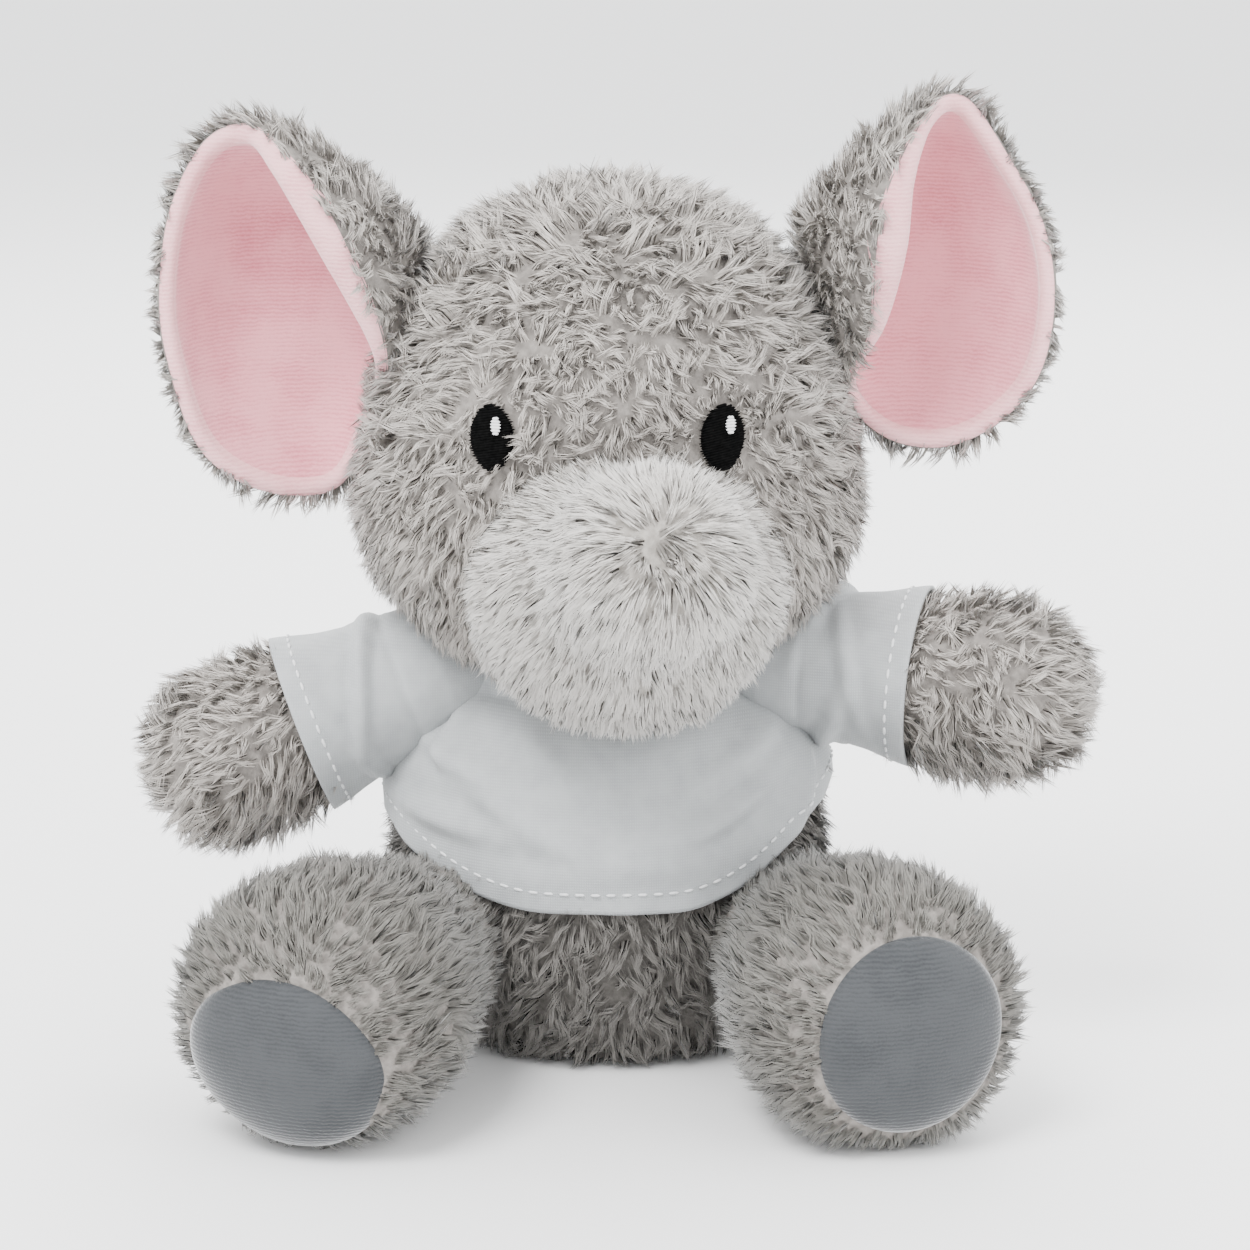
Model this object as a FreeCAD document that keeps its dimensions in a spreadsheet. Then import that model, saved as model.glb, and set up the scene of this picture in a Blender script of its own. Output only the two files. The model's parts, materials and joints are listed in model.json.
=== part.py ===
import FreeCAD, Part
import math
import os
import Sketcher

# A seated plush elephant in a T-shirt. Millimetres, +Z up, the toy faces -Y, its left side is +X.
# The origin is on the floor, in the middle of the toy's own box.

SIZES = [
    # name, value, what it is
    ("skin", 1.4, "fur fabric backing with the lower part of its pile"),
    ("gap", 0.5, "clearance between neighbouring bodies"),
    ("middle_y", 4.0, "the torso's axis, behind the toy's origin"),
    ("torso_half_width", 39.0, "torso ellipsoid along X"),
    ("torso_half_depth", 34.0, "torso ellipsoid along Y"),
    ("torso_half_height", 42.0, "torso ellipsoid along Z"),
    ("torso_centre", 31.0, "height of the torso's widest part"),
    ("chest_half_width", 37.0, "chest ellipsoid along X"),
    ("chest_half_depth", 25.0, "chest ellipsoid along Y"),
    ("chest_half_height", 18.0, "chest ellipsoid along Z"),
    ("chest_centre", 53.0, "height of the chest's centre"),
    ("neck_plane", 70.0, "height where the head is sewn to the torso"),
    ("head_half_width", 42.0, "skull ellipsoid along X"),
    ("head_half_depth", 39.0, "skull ellipsoid along Y"),
    ("head_half_height", 44.0, "skull ellipsoid along Z"),
    ("head_centre", 112.0, "height of the skull's centre"),
    ("cheek_half_width", 42.0, "cheek ellipsoid along X"),
    ("cheek_half_depth", 38.0, "cheek ellipsoid along Y"),
    ("cheek_half_height", 29.0, "cheek ellipsoid along Z"),
    ("cheek_centre", 98.0, "height of the cheeks' centre"),
    ("eye_side", 19.0, "eye's distance from the middle"),
    ("eye_height", 117.0, "height of the eyes"),
    ("eye_half_width", 3.9, "embroidered oval, half width"),
    ("eye_half_height", 5.3, "embroidered oval, half height"),
    ("thread", 0.8, "how far the embroidery stands on the skin"),
    ("trunk_side", 2.5, "trunk root, along X"),
    ("trunk_front", 24.0, "trunk root, along -Y"),
    ("trunk_height", 89.0, "trunk root, along Z"),
    ("trunk_root", 25.0, "radius of the muzzle"),
    ("trunk_tip", 10.5, "radius of the trunk's end"),
    ("trunk_long", 44.0, "from the muzzle's centre to the tip's centre"),
    ("trunk_polar", 72.0, "trunk's direction, degrees from +Z"),
    ("trunk_turn", -82.0, "trunk's direction, degrees from +X"),
    ("chin_cut", 4.0, "how much of the muzzle's back is cut away over the neck"),
    ("trunk_up", 10.0, "how far the trunk bends up, degrees"),
    ("trunk_down", 20.0, "how far the trunk bends down, degrees"),
    ("ear_side", 58.0, "ear cup's centre from the middle"),
    ("ear_back", 1.0, "ear cup's centre along Y"),
    ("right_ear_height", 135.5, "right ear cup's centre height"),
    ("left_ear_height", 139.5, "left ear cup's centre height"),
    ("ear_half_width", 22.0, "ear cup's half width"),
    ("ear_half_height", 34.5, "ear cup's half height"),
    ("ear_depth", 17.0, "ear cup's depth"),
    ("ear_mouth", 5.0, "how far the cup's rim is in front of its centre"),
    ("ear_turn", 20.0, "how far the cup's mouth looks outwards, degrees"),
    ("ear_lean", 8.0, "how far the ear leans outwards at its top, degrees"),
    ("lining", 1.0, "velour lining thickness"),
    ("ear_clear", 2.2, "clearance between ear and head"),
    ("shoulder_side", 38.0, "shoulder seam from the middle"),
    ("right_shoulder_height", 65.0, "right shoulder seam height"),
    ("left_shoulder_height", 69.5, "left shoulder seam height"),
    ("arm_root", 10.5, "arm's radius at the shoulder"),
    ("arm_tip", 15.0, "arm's radius at the paw"),
    ("right_arm_long", 31.0, "from the right shoulder to the paw's centre"),
    ("left_arm_long", 33.5, "from the left shoulder to the paw's centre"),
    ("right_arm_polar", 110.0, "right arm's direction, degrees from +Z"),
    ("right_arm_turn", 186.0, "right arm's direction, degrees from +X"),
    ("left_arm_polar", 94.0, "left arm's direction, degrees from +Z"),
    ("left_arm_turn", -14.0, "left arm's direction, degrees from +X"),
    ("cloth", 0.9, "T-shirt jersey thickness"),
    ("ease", 0.6, "air between T-shirt and fur fabric"),
    ("sleeve_from", 4.5, "sleeve's start along the arm"),
    ("sleeve_long", 15.5, "sleeve's length along the arm"),
    ("hem_height", 38.0, "T-shirt hem above the floor"),
    ("hem_slope", 6.0, "hem plane's forward fall, degrees"),
    ("stitch_rise", 4.0, "stitching above the hem's edge"),
    ("stitch_wide", 0.7, "stitching thread's width"),
    ("stitch_high", 0.4, "how far the stitching stands on the cloth"),
    ("band_high", 3.4, "neckband height"),
    ("hip_side", 32.0, "hip seam from the middle"),
    ("hip_front", 17.0, "hip seam along -Y"),
    ("leg_root", 14.5, "leg's radius at the hip"),
    ("leg_foot", 23.0, "leg's radius at the foot"),
    ("right_leg_long", 60.0, "from the right hip to the sole"),
    ("left_leg_long", 58.0, "from the left hip to the sole"),
    ("leg_lift", 25.0, "how far a leg lifts, degrees"),
    ("knee_room", 29.0, "radius of the room that the T-shirt leaves for each thigh"),
    ("sole_round", 4.5, "rounding round the sole"),
    ("right_leg_splay", 23.0, "how far the right leg points outwards, degrees"),
    ("left_leg_splay", 20.0, "how far the left leg points outwards, degrees"),
    ("pad_radius", 15.5, "foot pad radius"),
    ("right_pad_drop", 3.0, "how far the right pad sits below the leg's axis"),
    ("left_pad_drop", 0.5, "how far the left pad sits below the leg's axis"),
    ("pad_thick", 1.2, "foot pad thickness"),
    ("bean_half_width", 20.0, "bean pouch along X and Y"),
    ("bean_half_height", 8.0, "bean pouch along Z"),
    ("bean_height", 12.0, "bean pouch's centre height"),
    ("tail_height", 20.0, "tail root height"),
    ("tail_radius", 2.6, "tail's radius at its root"),
    ("tail_tip", 3.4, "tail's radius at its end"),
    ("tail_long", 20.0, "tail's length"),
    ("tail_polar", 118.0, "tail's direction, degrees from +Z"),
]

doc = FreeCAD.newDocument("StuffedElephant")
sheet = doc.addObject("Spreadsheet::Sheet", "Sizes")
for row, (name, value, meaning) in enumerate(SIZES, start=1):
    sheet.set("A%d" % row, str(value))
    sheet.setAlias("A%d" % row, name)
    sheet.set("B%d" % row, meaning)
doc.recompute()
NAMES = sorted((name for name, value, meaning in SIZES), key=len, reverse=True)


def linked(formula):
    """The formula with each size's name pointing into the sheet."""
    words = []
    word = ""
    for letter in formula + " ":
        if letter.isalnum() or letter == "_":
            word += letter
            continue
        words.append("Sizes." + word if word in NAMES else word)
        words.append(letter)
        word = ""
    return "".join(words).strip()


def size(formula):
    """The formula's value now, as a plain number."""
    return float(sheet.evalExpression(linked(formula)))


def place(thing, x="0", y="0", z="0", turn="0", polar="0"):
    """Bind a thing's place; its own +Z then points at polar from +Z, turned about Z."""
    rule = "placement(vector(%s; %s; %s); rotation(%s; %s; 0))" % (x, y, z, turn, polar)
    thing.setExpression("Placement", linked(rule))
    return thing


def ellipsoid(name, half_x, half_y, half_z, **where):
    thing = doc.addObject("Part::Ellipsoid", name)
    thing.Angle1 = -90
    thing.setExpression("Radius2", linked(half_x))
    thing.setExpression("Radius3", linked(half_y))
    thing.setExpression("Radius1", linked(half_z))
    return place(thing, **where)


def box(name, long_x, long_y, long_z, **where):
    thing = doc.addObject("Part::Box", name)
    thing.setExpression("Length", linked(long_x))
    thing.setExpression("Width", linked(long_y))
    thing.setExpression("Height", linked(long_z))
    return place(thing, **where)


def sphere(name, radius, **where):
    thing = doc.addObject("Part::Sphere", name)
    thing.setExpression("Radius", linked(radius))
    return place(thing, **where)


def cut(name, base, *tools):
    """base with each tool taken away."""
    for number, tool in enumerate(tools, start=1):
        thing = doc.addObject("Part::Cut", "%s_cut%d" % (name, number))
        thing.Base = base
        thing.Tool = tool
        base = thing
    base.Label = name
    return base


def common(name, base, tool):
    thing = doc.addObject("Part::Common", name)
    thing.Base = base
    thing.Tool = tool
    return thing


def fuse(name, *things):
    thing = doc.addObject("Part::MultiFuse", name)
    thing.Shapes = list(things)
    return thing


def plane_of(body, role):
    return next(plane for plane in body.Origin.OriginFeatures if plane.Role == role)


def pin_point(sketch, geometry, end, x, y):
    """Hold one sketch point at the place that two formulas give."""
    for kind, formula, axis in (("DistanceX", x, -2), ("DistanceY", y, -1)):
        value = size(formula)
        if abs(value) < 1e-9:
            sketch.addConstraint(Sketcher.Constraint("PointOnObject", geometry, end, axis))
            continue
        number = sketch.addConstraint(Sketcher.Constraint(kind, -1, 1, geometry, end, value))
        sketch.setExpression("Constraints[%d]" % number, linked(formula))


def turned(name, points, centres):
    """A body turned about its own Z from an outline of (radius, height) formulas.

    centres holds, for each outline point that starts an arc, the arc's centre as a
    (radius, height) pair."""
    body = doc.addObject("PartDesign::Body", name)
    sketch = body.newObject("Sketcher::SketchObject", name + "_outline")
    sketch.AttachmentSupport = [(plane_of(body, "XZ_Plane"), "")]
    sketch.MapMode = "FlatFace"
    count = len(points)
    for i in range(count):
        start = FreeCAD.Vector(size(points[i][0]), size(points[i][1]), 0)
        after = points[(i + 1) % count]
        end = FreeCAD.Vector(size(after[0]), size(after[1]), 0)
        if i not in centres:
            sketch.addGeometry(Part.LineSegment(start, end), False)
            continue
        centre = FreeCAD.Vector(size(centres[i][0]), size(centres[i][1]), 0)
        radius = (start - centre).Length
        first = math.atan2(start.y - centre.y, start.x - centre.x)
        last = math.atan2(end.y - centre.y, end.x - centre.x)
        circle = Part.Circle(centre, FreeCAD.Vector(0, 0, 1), radius)
        sketch.addGeometry(Part.ArcOfCircle(circle, first, last), False)
    for i in range(count):
        sketch.addConstraint(Sketcher.Constraint("Coincident", i, 2, (i + 1) % count, 1))
        pin_point(sketch, i, 1, *points[i])
    for i, centre in centres.items():
        high = size(centre[1])
        if abs(high) < 1e-9:
            sketch.addConstraint(Sketcher.Constraint("PointOnObject", i, 3, -1))
            continue
        number = sketch.addConstraint(Sketcher.Constraint("DistanceY", -1, 1, i, 3, high))
        sketch.setExpression("Constraints[%d]" % number, linked(centre[1]))
    revolution = body.newObject("PartDesign::Revolution", name + "_turn")
    revolution.Profile = sketch
    revolution.ReferenceAxis = (sketch, ["V_Axis"])
    revolution.Angle = 360
    return body


def capsule(name, root, tip, long, less="0"):
    """Two balls joined by a tangent cone, from the root ball's centre along +Z."""
    slope = "(%s - %s) / %s" % (tip, root, long)
    across = "sqrt(1 - (%s)^2)" % slope
    small = "(%s - %s)" % (root, less)
    big = "(%s - %s)" % (tip, less)
    points = [
        ("0", "-%s" % small),
        ("%s * %s" % (small, across), "-%s * %s" % (small, slope)),
        ("%s * %s" % (big, across), "%s - %s * %s" % (long, big, slope)),
        ("0", "%s + %s" % (long, big)),
    ]
    return turned(name, points, {0: ("0", "0"), 2: ("0", long)})


def leg_form(name, leg_long, less, sole_less):
    """A ball at the hip, a cone to the foot and a sole with a rounded edge."""
    small = "(leg_root - %s)" % less
    big = "(leg_foot - %s)" % less
    sole = "(%s - %s)" % (leg_long, sole_less)
    round_off = "(sole_round - %s)" % less
    slope = "(leg_foot - leg_root) / (%s - sole_round)" % leg_long
    across = "sqrt(1 - (%s)^2)" % slope
    points = [
        ("0", "-%s" % small),
        ("%s * %s" % (small, across), "-%s * %s" % (small, slope)),
        (big, "%s - %s" % (sole, round_off)),
        ("%s - %s" % (big, round_off), sole),
        ("0", sole),
    ]
    corner = ("%s - %s" % (big, round_off), "%s - %s" % (sole, round_off))
    return turned(name, points, {0: ("0", "0"), 2: corner})


def torso_form(name, grow):
    belly = ellipsoid(name + "_belly", "torso_half_width + " + grow, "torso_half_depth + " + grow,
                      "torso_half_height + " + grow, y="middle_y", z="torso_centre")
    chest = ellipsoid(name + "_chest", "chest_half_width + " + grow, "chest_half_depth + " + grow,
                      "chest_half_height + " + grow, y="middle_y", z="chest_centre")
    return fuse(name, belly, chest)


def head_form(name, grow):
    skull = ellipsoid(name + "_skull", "head_half_width + " + grow, "head_half_depth + " + grow,
                      "head_half_height + " + grow, z="head_centre")
    cheeks = ellipsoid(name + "_cheeks", "cheek_half_width + " + grow, "cheek_half_depth + " + grow,
                       "cheek_half_height + " + grow, z="cheek_centre")
    return fuse(name, skull, cheeks)


SIDES = (("right", "-1"), ("left", "1"))
ROOM = "120"

arm_place = {
    side: dict(x=sign + " * shoulder_side", z=side + "_shoulder_height",
               turn=side + "_arm_turn", polar=side + "_arm_polar")
    for side, sign in SIDES
}
leg_place = {
    side: dict(x=sign + " * hip_side", y="-hip_front", z="leg_foot",
               turn="-90 + %s * %s_leg_splay" % (sign, side), polar="90")
    for side, sign in SIDES
}
trunk_place = dict(x="trunk_side", y="-trunk_front", z="trunk_height",
                   turn="trunk_turn", polar="trunk_polar")
tail_place = dict(y="middle_y + torso_half_depth + 2", z="tail_height", turn="90", polar="tail_polar")

parts = {}


def sub_part(thing, label):
    """Remember a finished sub-part under the name of its file."""
    thing.Label = label
    parts[label] = thing
    return thing


# Legs: a fur skin round stuffing, with a velour pad on the sole
leg_rooms = []
for side, sign in SIDES:
    leg_long = side + "_leg_long"
    outer = place(leg_form("leg_outer_" + side, leg_long, "0", "0"), **leg_place[side])
    inner = place(leg_form("leg_inner_" + side, leg_long, "skin", "(skin + pad_thick)"), **leg_place[side])
    pad = doc.addObject("PartDesign::Body", "foot_pad_" + side)
    circle = pad.newObject("Sketcher::SketchObject", "pad_circle_" + side)
    circle.AttachmentSupport = [(plane_of(pad, "XY_Plane"), "")]
    circle.MapMode = "FlatFace"
    rim = Part.Circle(FreeCAD.Vector(0, 0, 0), FreeCAD.Vector(0, 0, 1), size("pad_radius"))
    circle.addGeometry(rim, False)
    circle.addConstraint(Sketcher.Constraint("Coincident", 0, 3, -1, 1))
    radius = circle.addConstraint(Sketcher.Constraint("Radius", 0, size("pad_radius")))
    circle.setExpression("Constraints[%d]" % radius, linked("pad_radius"))
    disc = pad.newObject("PartDesign::Pad", "pad_disc_" + side)
    disc.Profile = circle
    disc.setExpression("Length", linked("pad_thick"))
    turn = "(-90 + %s * %s_leg_splay)" % (sign, side)
    reach = "(%s - pad_thick)" % leg_long
    place(pad, x="%s * hip_side + %s * cos(%s)" % (sign, reach, turn),
          y="-hip_front + %s * sin(%s)" % (reach, turn),
          z="leg_foot - %s_pad_drop" % side, turn=turn, polar="90")
    sub_part(pad, "foot_pad_" + side)
    sub_part(inner, "leg_stuffing_" + side)
    sub_part(cut("leg_skin_" + side, outer, inner, pad), "leg_skin_" + side)
    lifted = []
    for step in ("0", "1"):
        room = leg_form("leg_room_%s_%s" % (side, step), leg_long, "-gap", "-gap")
        lifted.append(place(room, **dict(leg_place[side], polar="90 - %s * leg_lift" % step)))
    leg_rooms.append(fuse("leg_room_" + side, *lifted))

# Arms
arm_rooms = []
for side, sign in SIDES:
    arm = ("arm_root", "arm_tip", side + "_arm_long")
    outer = place(capsule("arm_outer_" + side, *arm), **arm_place[side])
    inner = place(capsule("arm_inner_" + side, *arm, "skin"), **arm_place[side])
    sub_part(inner, "arm_stuffing_" + side)
    sub_part(cut("arm_skin_" + side, outer, inner), "arm_skin_" + side)
    arm_rooms.append(sphere("arm_room_" + side, "arm_root + sleeve_from + cloth",
                            x=sign + " * shoulder_side", z=side + "_shoulder_height"))

# Tail
tail = place(capsule("tail", "tail_radius", "tail_tip", "tail_long"), **tail_place)
sub_part(tail, "tail")

# Torso: skin, stuffing and the bean pouch in the seat
torso_outer = torso_form("torso_outer", "0")
torso_inner = torso_form("torso_inner", "0 - skin")
floor_room = box("floor_room", ROOM, ROOM, ROOM, x="-60", y="-60", z="-%s" % ROOM)
floor_inner = box("floor_inner", ROOM, ROOM, ROOM, x="-60", y="-60", z="skin - %s" % ROOM)
neck_room = box("neck_room", ROOM, ROOM, ROOM, x="-60", y="-60", z="neck_plane")
neck_inner = box("neck_inner", ROOM, ROOM, ROOM, x="-60", y="-60", z="neck_plane - skin")
torso_fill = cut("torso_fill", torso_inner, floor_inner, neck_inner)
sockets = leg_rooms + arm_rooms
torso_whole = cut("torso_whole", torso_outer, floor_room, neck_room)
sub_part(cut("torso_skin", torso_whole, torso_fill, *sockets), "torso_skin")
bean_bag = ellipsoid("bean_bag", "bean_half_width", "bean_half_width", "bean_half_height",
                     y="middle_y + 6", z="bean_height")
sub_part(bean_bag, "bean_bag")
sub_part(cut("torso_stuffing", torso_fill, bean_bag, *sockets), "torso_stuffing")

# T-shirt body: two panels, a neckband and the hem's stitching
shirt_outer = torso_form("shirt_outer", "ease + cloth")
shirt_inner = torso_form("shirt_inner", "ease")
below_hem = box("below_hem", ROOM, ROOM, ROOM)
below_hem.setExpression("Placement", linked(
    "placement(vector(-60; -60; hem_height - 60 * tan(hem_slope)); rotation(0; 0; hem_slope)) "
    "* placement(vector(0; 0; -%s); rotation(0; 0; 0))" % ROOM))
above_band = box("above_band", ROOM, ROOM, ROOM, x="-60", y="-60", z="neck_plane - 4")
knee_rooms = [
    sphere("knee_room_" + side, "knee_room", x="%s * (hip_side + 5)" % sign, y="-hip_front - 14",
           z="leg_foot + 1")
    for side, sign in SIDES
]
shirt_tube = cut("shirt_tube", shirt_outer, below_hem, above_band, *arm_rooms, *knee_rooms, shirt_inner)
front_room = box("front_room", ROOM, ROOM, ROOM, x="-60", y="middle_y - %s" % ROOM)
back_room = box("back_room", ROOM, ROOM, ROOM, x="-60", y="middle_y")
sub_part(cut("shirt_front", shirt_tube, back_room), "shirt_front")
sub_part(cut("shirt_back", shirt_tube, front_room), "shirt_back")

band_ring = cut("band_ring", torso_form("band_outer", "ease + 2 * cloth"), torso_form("band_inner", "ease"))
band_slab = box("band_slab", ROOM, ROOM, "band_high", x="-60", y="-60", z="neck_plane - 4")
sub_part(cut("neckband", common("band", band_ring, band_slab), *arm_rooms), "neckband")

thread_outer = torso_form("thread_outer", "ease + cloth + stitch_high")
thread_ring = cut("thread_ring", thread_outer, shirt_outer)
thread_slab = box("thread_slab", ROOM, ROOM, "stitch_wide")
thread_slab.setExpression("Placement", linked(
    "placement(vector(-60; -60; hem_height + stitch_rise - 60 * tan(hem_slope)); rotation(0; 0; hem_slope))"))
sub_part(cut("hem_stitching", common("hem_thread", thread_ring, thread_slab), *knee_rooms), "hem_stitching")

# Sleeves and their stitching, on the arms
for side, sign in SIDES:
    arm = ("arm_root", "arm_tip", side + "_arm_long")
    outside = place(capsule("sleeve_outside_" + side, *arm, "(0 - ease - cloth)"), **arm_place[side])
    inside = place(capsule("sleeve_inside_" + side, *arm, "(0 - ease)"), **arm_place[side])
    tube = cut("sleeve_tube_" + side, outside, inside)
    slab = box("sleeve_slab_" + side, ROOM, ROOM, "sleeve_long")
    along = "placement(vector(%s * shoulder_side; 0; %s_shoulder_height); " \
        "rotation(%s_arm_turn; %s_arm_polar; 0)) * placement(vector(-60; -60; %s); rotation(0; 0; 0))"
    slab.setExpression("Placement", linked(along % (sign, side, side, side, "sleeve_from")))
    sub_part(common("sleeve_" + side, tube, slab), "sleeve_" + side)
    ring_outer = place(capsule("cuff_ring_" + side, *arm, "(0 - ease - cloth - stitch_high)"),
                       **arm_place[side])
    ring = cut("cuff_band_" + side, ring_outer, outside)
    thread = box("cuff_slab_" + side, ROOM, ROOM, "stitch_wide")
    cuff = "sleeve_from + sleeve_long - stitch_rise"
    thread.setExpression("Placement", linked(along % (sign, side, side, side, cuff)))
    sub_part(common("cuff_stitching_" + side, ring, thread), "cuff_stitching_" + side)

# Trunk with its muzzle, one skin round one stuffing, cut away behind the chin where the neck is
trunk = ("trunk_root", "trunk_tip", "trunk_long")
trunk_outer = place(capsule("trunk_outer", *trunk), **trunk_place)
trunk_inner = place(capsule("trunk_inner", *trunk, "skin"), **trunk_place)
chin_room = box("chin_room", ROOM, ROOM, ROOM, x="-60", y="-trunk_front - chin_cut",
                z="neck_plane + 8 - %s" % ROOM)
trunk_fill = cut("trunk_stuffing", trunk_inner, chin_room)
sub_part(trunk_fill, "trunk_stuffing")
sub_part(cut("trunk_skin", trunk_outer, trunk_fill, chin_room), "trunk_skin")
trunk_rooms = []
for name, bend in (("rest", "0"), ("up", "-trunk_up"), ("down", "trunk_down")):
    room = capsule("trunk_room_" + name, *trunk, "-gap")
    trunk_rooms.append(place(room, **dict(trunk_place, polar="trunk_polar + " + bend)))

# Head: skin and stuffing, and the embroidery on the skin
head_outer = head_form("head_outer", "0")
head_inner = head_form("head_inner", "0 - skin")
head_floor = box("head_floor", ROOM, ROOM, ROOM, x="-60", y="-60", z="neck_plane + gap - %s" % ROOM)
head_floor_inner = box("head_floor_inner", ROOM, ROOM, ROOM, x="-60", y="-60",
                       z="neck_plane + gap + skin - %s" % ROOM)
head_fill = cut("head_fill", head_inner, head_floor_inner, *trunk_rooms)
sub_part(head_fill, "head_stuffing")
sub_part(cut("head_skin", head_outer, head_floor, *trunk_rooms, head_fill), "head_skin")

thread_head = cut("thread_head", head_form("head_thread", "thread"), head_outer)
for side, sign in SIDES:
    where = dict(x=sign + " * eye_side", y="-head_half_depth + 4.5", z="eye_height")
    oval = ellipsoid("eye_oval_" + side, "eye_half_width", "8", "eye_half_height", **where)
    patch = common("eye_patch_" + side, thread_head, oval)
    glint_where = dict(where, x=where["x"] + " + 1.2", z="eye_height + 2")
    glint_oval = ellipsoid("glint_oval_" + side, "0.8", "8", "1.3", **glint_where)
    sub_part(common("eye_glint_" + side, patch, glint_oval), "eye_glint_" + side)
    sub_part(cut("eye_" + side, patch, glint_oval), "eye_" + side)

# Ears: a fur back and a velour lining, one cup inside the other
ear_gap = head_form("ear_gap", "ear_clear")
for side, sign in SIDES:

    def cup(name, less):
        """An ellipsoid whose own +Z looks out of the ear."""
        thing = doc.addObject("Part::Ellipsoid", name + side)
        thing.Angle1 = -90
        thing.setExpression("Radius1", linked("ear_depth - " + less))
        thing.setExpression("Radius2", linked("ear_half_width - " + less))
        thing.setExpression("Radius3", linked("ear_half_height - " + less))
        rule = "placement(vector(%s * ear_side; ear_back; %s_ear_height); " \
            "rotation(%s * ear_turn; %s * ear_lean; 90))"
        thing.setExpression("Placement", linked(rule % (sign, side, sign, sign)))
        return thing

    outer = cup("ear_outer_", "0")
    middle = cup("ear_middle_", "skin")
    inner = cup("ear_inner_", "(skin + lining)")
    outer.setExpression("Angle2", linked("asin(ear_mouth / ear_depth)"))
    lining = cup("ear_lined_", "skin")
    lining.setExpression("Angle2", linked("asin(ear_mouth / (ear_depth - skin))"))
    sub_part(cut("ear_back_" + side, outer, middle, ear_gap), "ear_back_" + side)
    sub_part(cut("ear_lining_" + side, lining, inner, ear_gap), "ear_lining_" + side)

doc.recompute()

for thing in doc.Objects:
    if "Invalid" in thing.State or "Error" in thing.State:
        raise SystemExit("%s did not build: %s" % (thing.Name, thing.State))
for name, thing in parts.items():
    if thing.Shape.isNull() or not thing.Shape.isValid() or thing.Shape.Volume < 0.1:
        raise SystemExit("%s has no sound shape" % name)

os.makedirs("parts", exist_ok=True)
for name, thing in sorted(parts.items()):
    thing.Shape.exportStep("parts/%s.step" % name)
    print("%-22s %9.1f mm3, %d solids" % (name, thing.Shape.Volume, len(thing.Shape.Solids)))
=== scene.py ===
"""The looks of a seated plush elephant in a T-shirt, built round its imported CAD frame.

Lengths are in millimetres until a mesh is made, which turns them into metres. The toy faces -Y,
+Z is up and its own left side is +X."""

import json
import math

import bpy
import numpy as np
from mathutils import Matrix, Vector
from mathutils.bvhtree import BVHTree


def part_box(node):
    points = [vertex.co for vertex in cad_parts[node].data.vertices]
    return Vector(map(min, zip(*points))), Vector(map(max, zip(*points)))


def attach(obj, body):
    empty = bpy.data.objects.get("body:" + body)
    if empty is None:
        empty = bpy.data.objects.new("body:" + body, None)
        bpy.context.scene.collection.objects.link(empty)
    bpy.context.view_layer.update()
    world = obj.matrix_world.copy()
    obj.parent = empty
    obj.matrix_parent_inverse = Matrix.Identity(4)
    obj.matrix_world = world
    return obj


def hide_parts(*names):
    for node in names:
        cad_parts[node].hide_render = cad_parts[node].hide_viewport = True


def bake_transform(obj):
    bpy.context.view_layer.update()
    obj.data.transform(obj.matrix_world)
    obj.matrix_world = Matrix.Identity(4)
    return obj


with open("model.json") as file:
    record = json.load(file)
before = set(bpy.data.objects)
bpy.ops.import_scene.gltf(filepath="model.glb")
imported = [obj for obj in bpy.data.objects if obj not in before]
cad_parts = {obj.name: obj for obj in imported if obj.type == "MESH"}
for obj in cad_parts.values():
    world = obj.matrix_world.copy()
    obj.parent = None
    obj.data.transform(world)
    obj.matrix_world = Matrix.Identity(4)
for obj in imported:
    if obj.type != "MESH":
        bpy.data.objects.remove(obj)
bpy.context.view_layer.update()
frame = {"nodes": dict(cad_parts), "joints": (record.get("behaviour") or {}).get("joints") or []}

MM = 0.001
UP = np.array([0.0, 0.0, 1.0])
SIDES = (("right", -1.0), ("left", 1.0))


# ---------------------------------------------------------------- the frame's places, in mm


def box_of(node):
    """A CAD node's middle and half size."""
    low, high = (np.array(corner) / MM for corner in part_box(node))
    return (low + high) / 2, (high - low) / 2


def pivot_of(joint):
    found = next(j for j in frame["joints"] if j["name"] == joint)
    return np.array(found["pos_m"]) / MM


def points_of(node):
    mesh = frame["nodes"][node].data
    flat = np.zeros(len(mesh.vertices) * 3)
    mesh.vertices.foreach_get("co", flat)
    return flat.reshape(-1, 3) / MM


def unit(v):
    v = np.asarray(v, float)
    return v / np.maximum(np.linalg.norm(v, axis=-1, keepdims=True), 1e-9)


def mixed(a, b, share):
    return a * (1 - share) + b * share


def smooth_step(x, low, high):
    share = np.clip((x - low) / (high - low), 0, 1)
    return share * share * (3 - 2 * share)


def round_angles(count):
    return np.arange(count) * 2 * math.pi / count


# ---------------------------------------------------------------- smooth noise


WAVE_LAYERS = 5


def waves(points, period, seed):
    """A smooth random field from -1 to 1: a few sine waves in random directions."""
    draw = np.random.default_rng(seed)
    total = np.zeros(points.shape[:-1])
    for _ in range(WAVE_LAYERS):
        heading = unit(draw.normal(size=3))
        length = period * draw.uniform(0.7, 1.5)
        total += np.sin(points @ heading * (2 * math.pi / length) + draw.uniform(0, 6.3))
    return total / WAVE_LAYERS * 1.6


def direction_field(points, period, seed):
    """A smooth random vector at each point."""
    return np.stack([waves(points, period, seed + k) for k in range(3)], axis=-1)


# ---------------------------------------------------------------- materials


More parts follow.
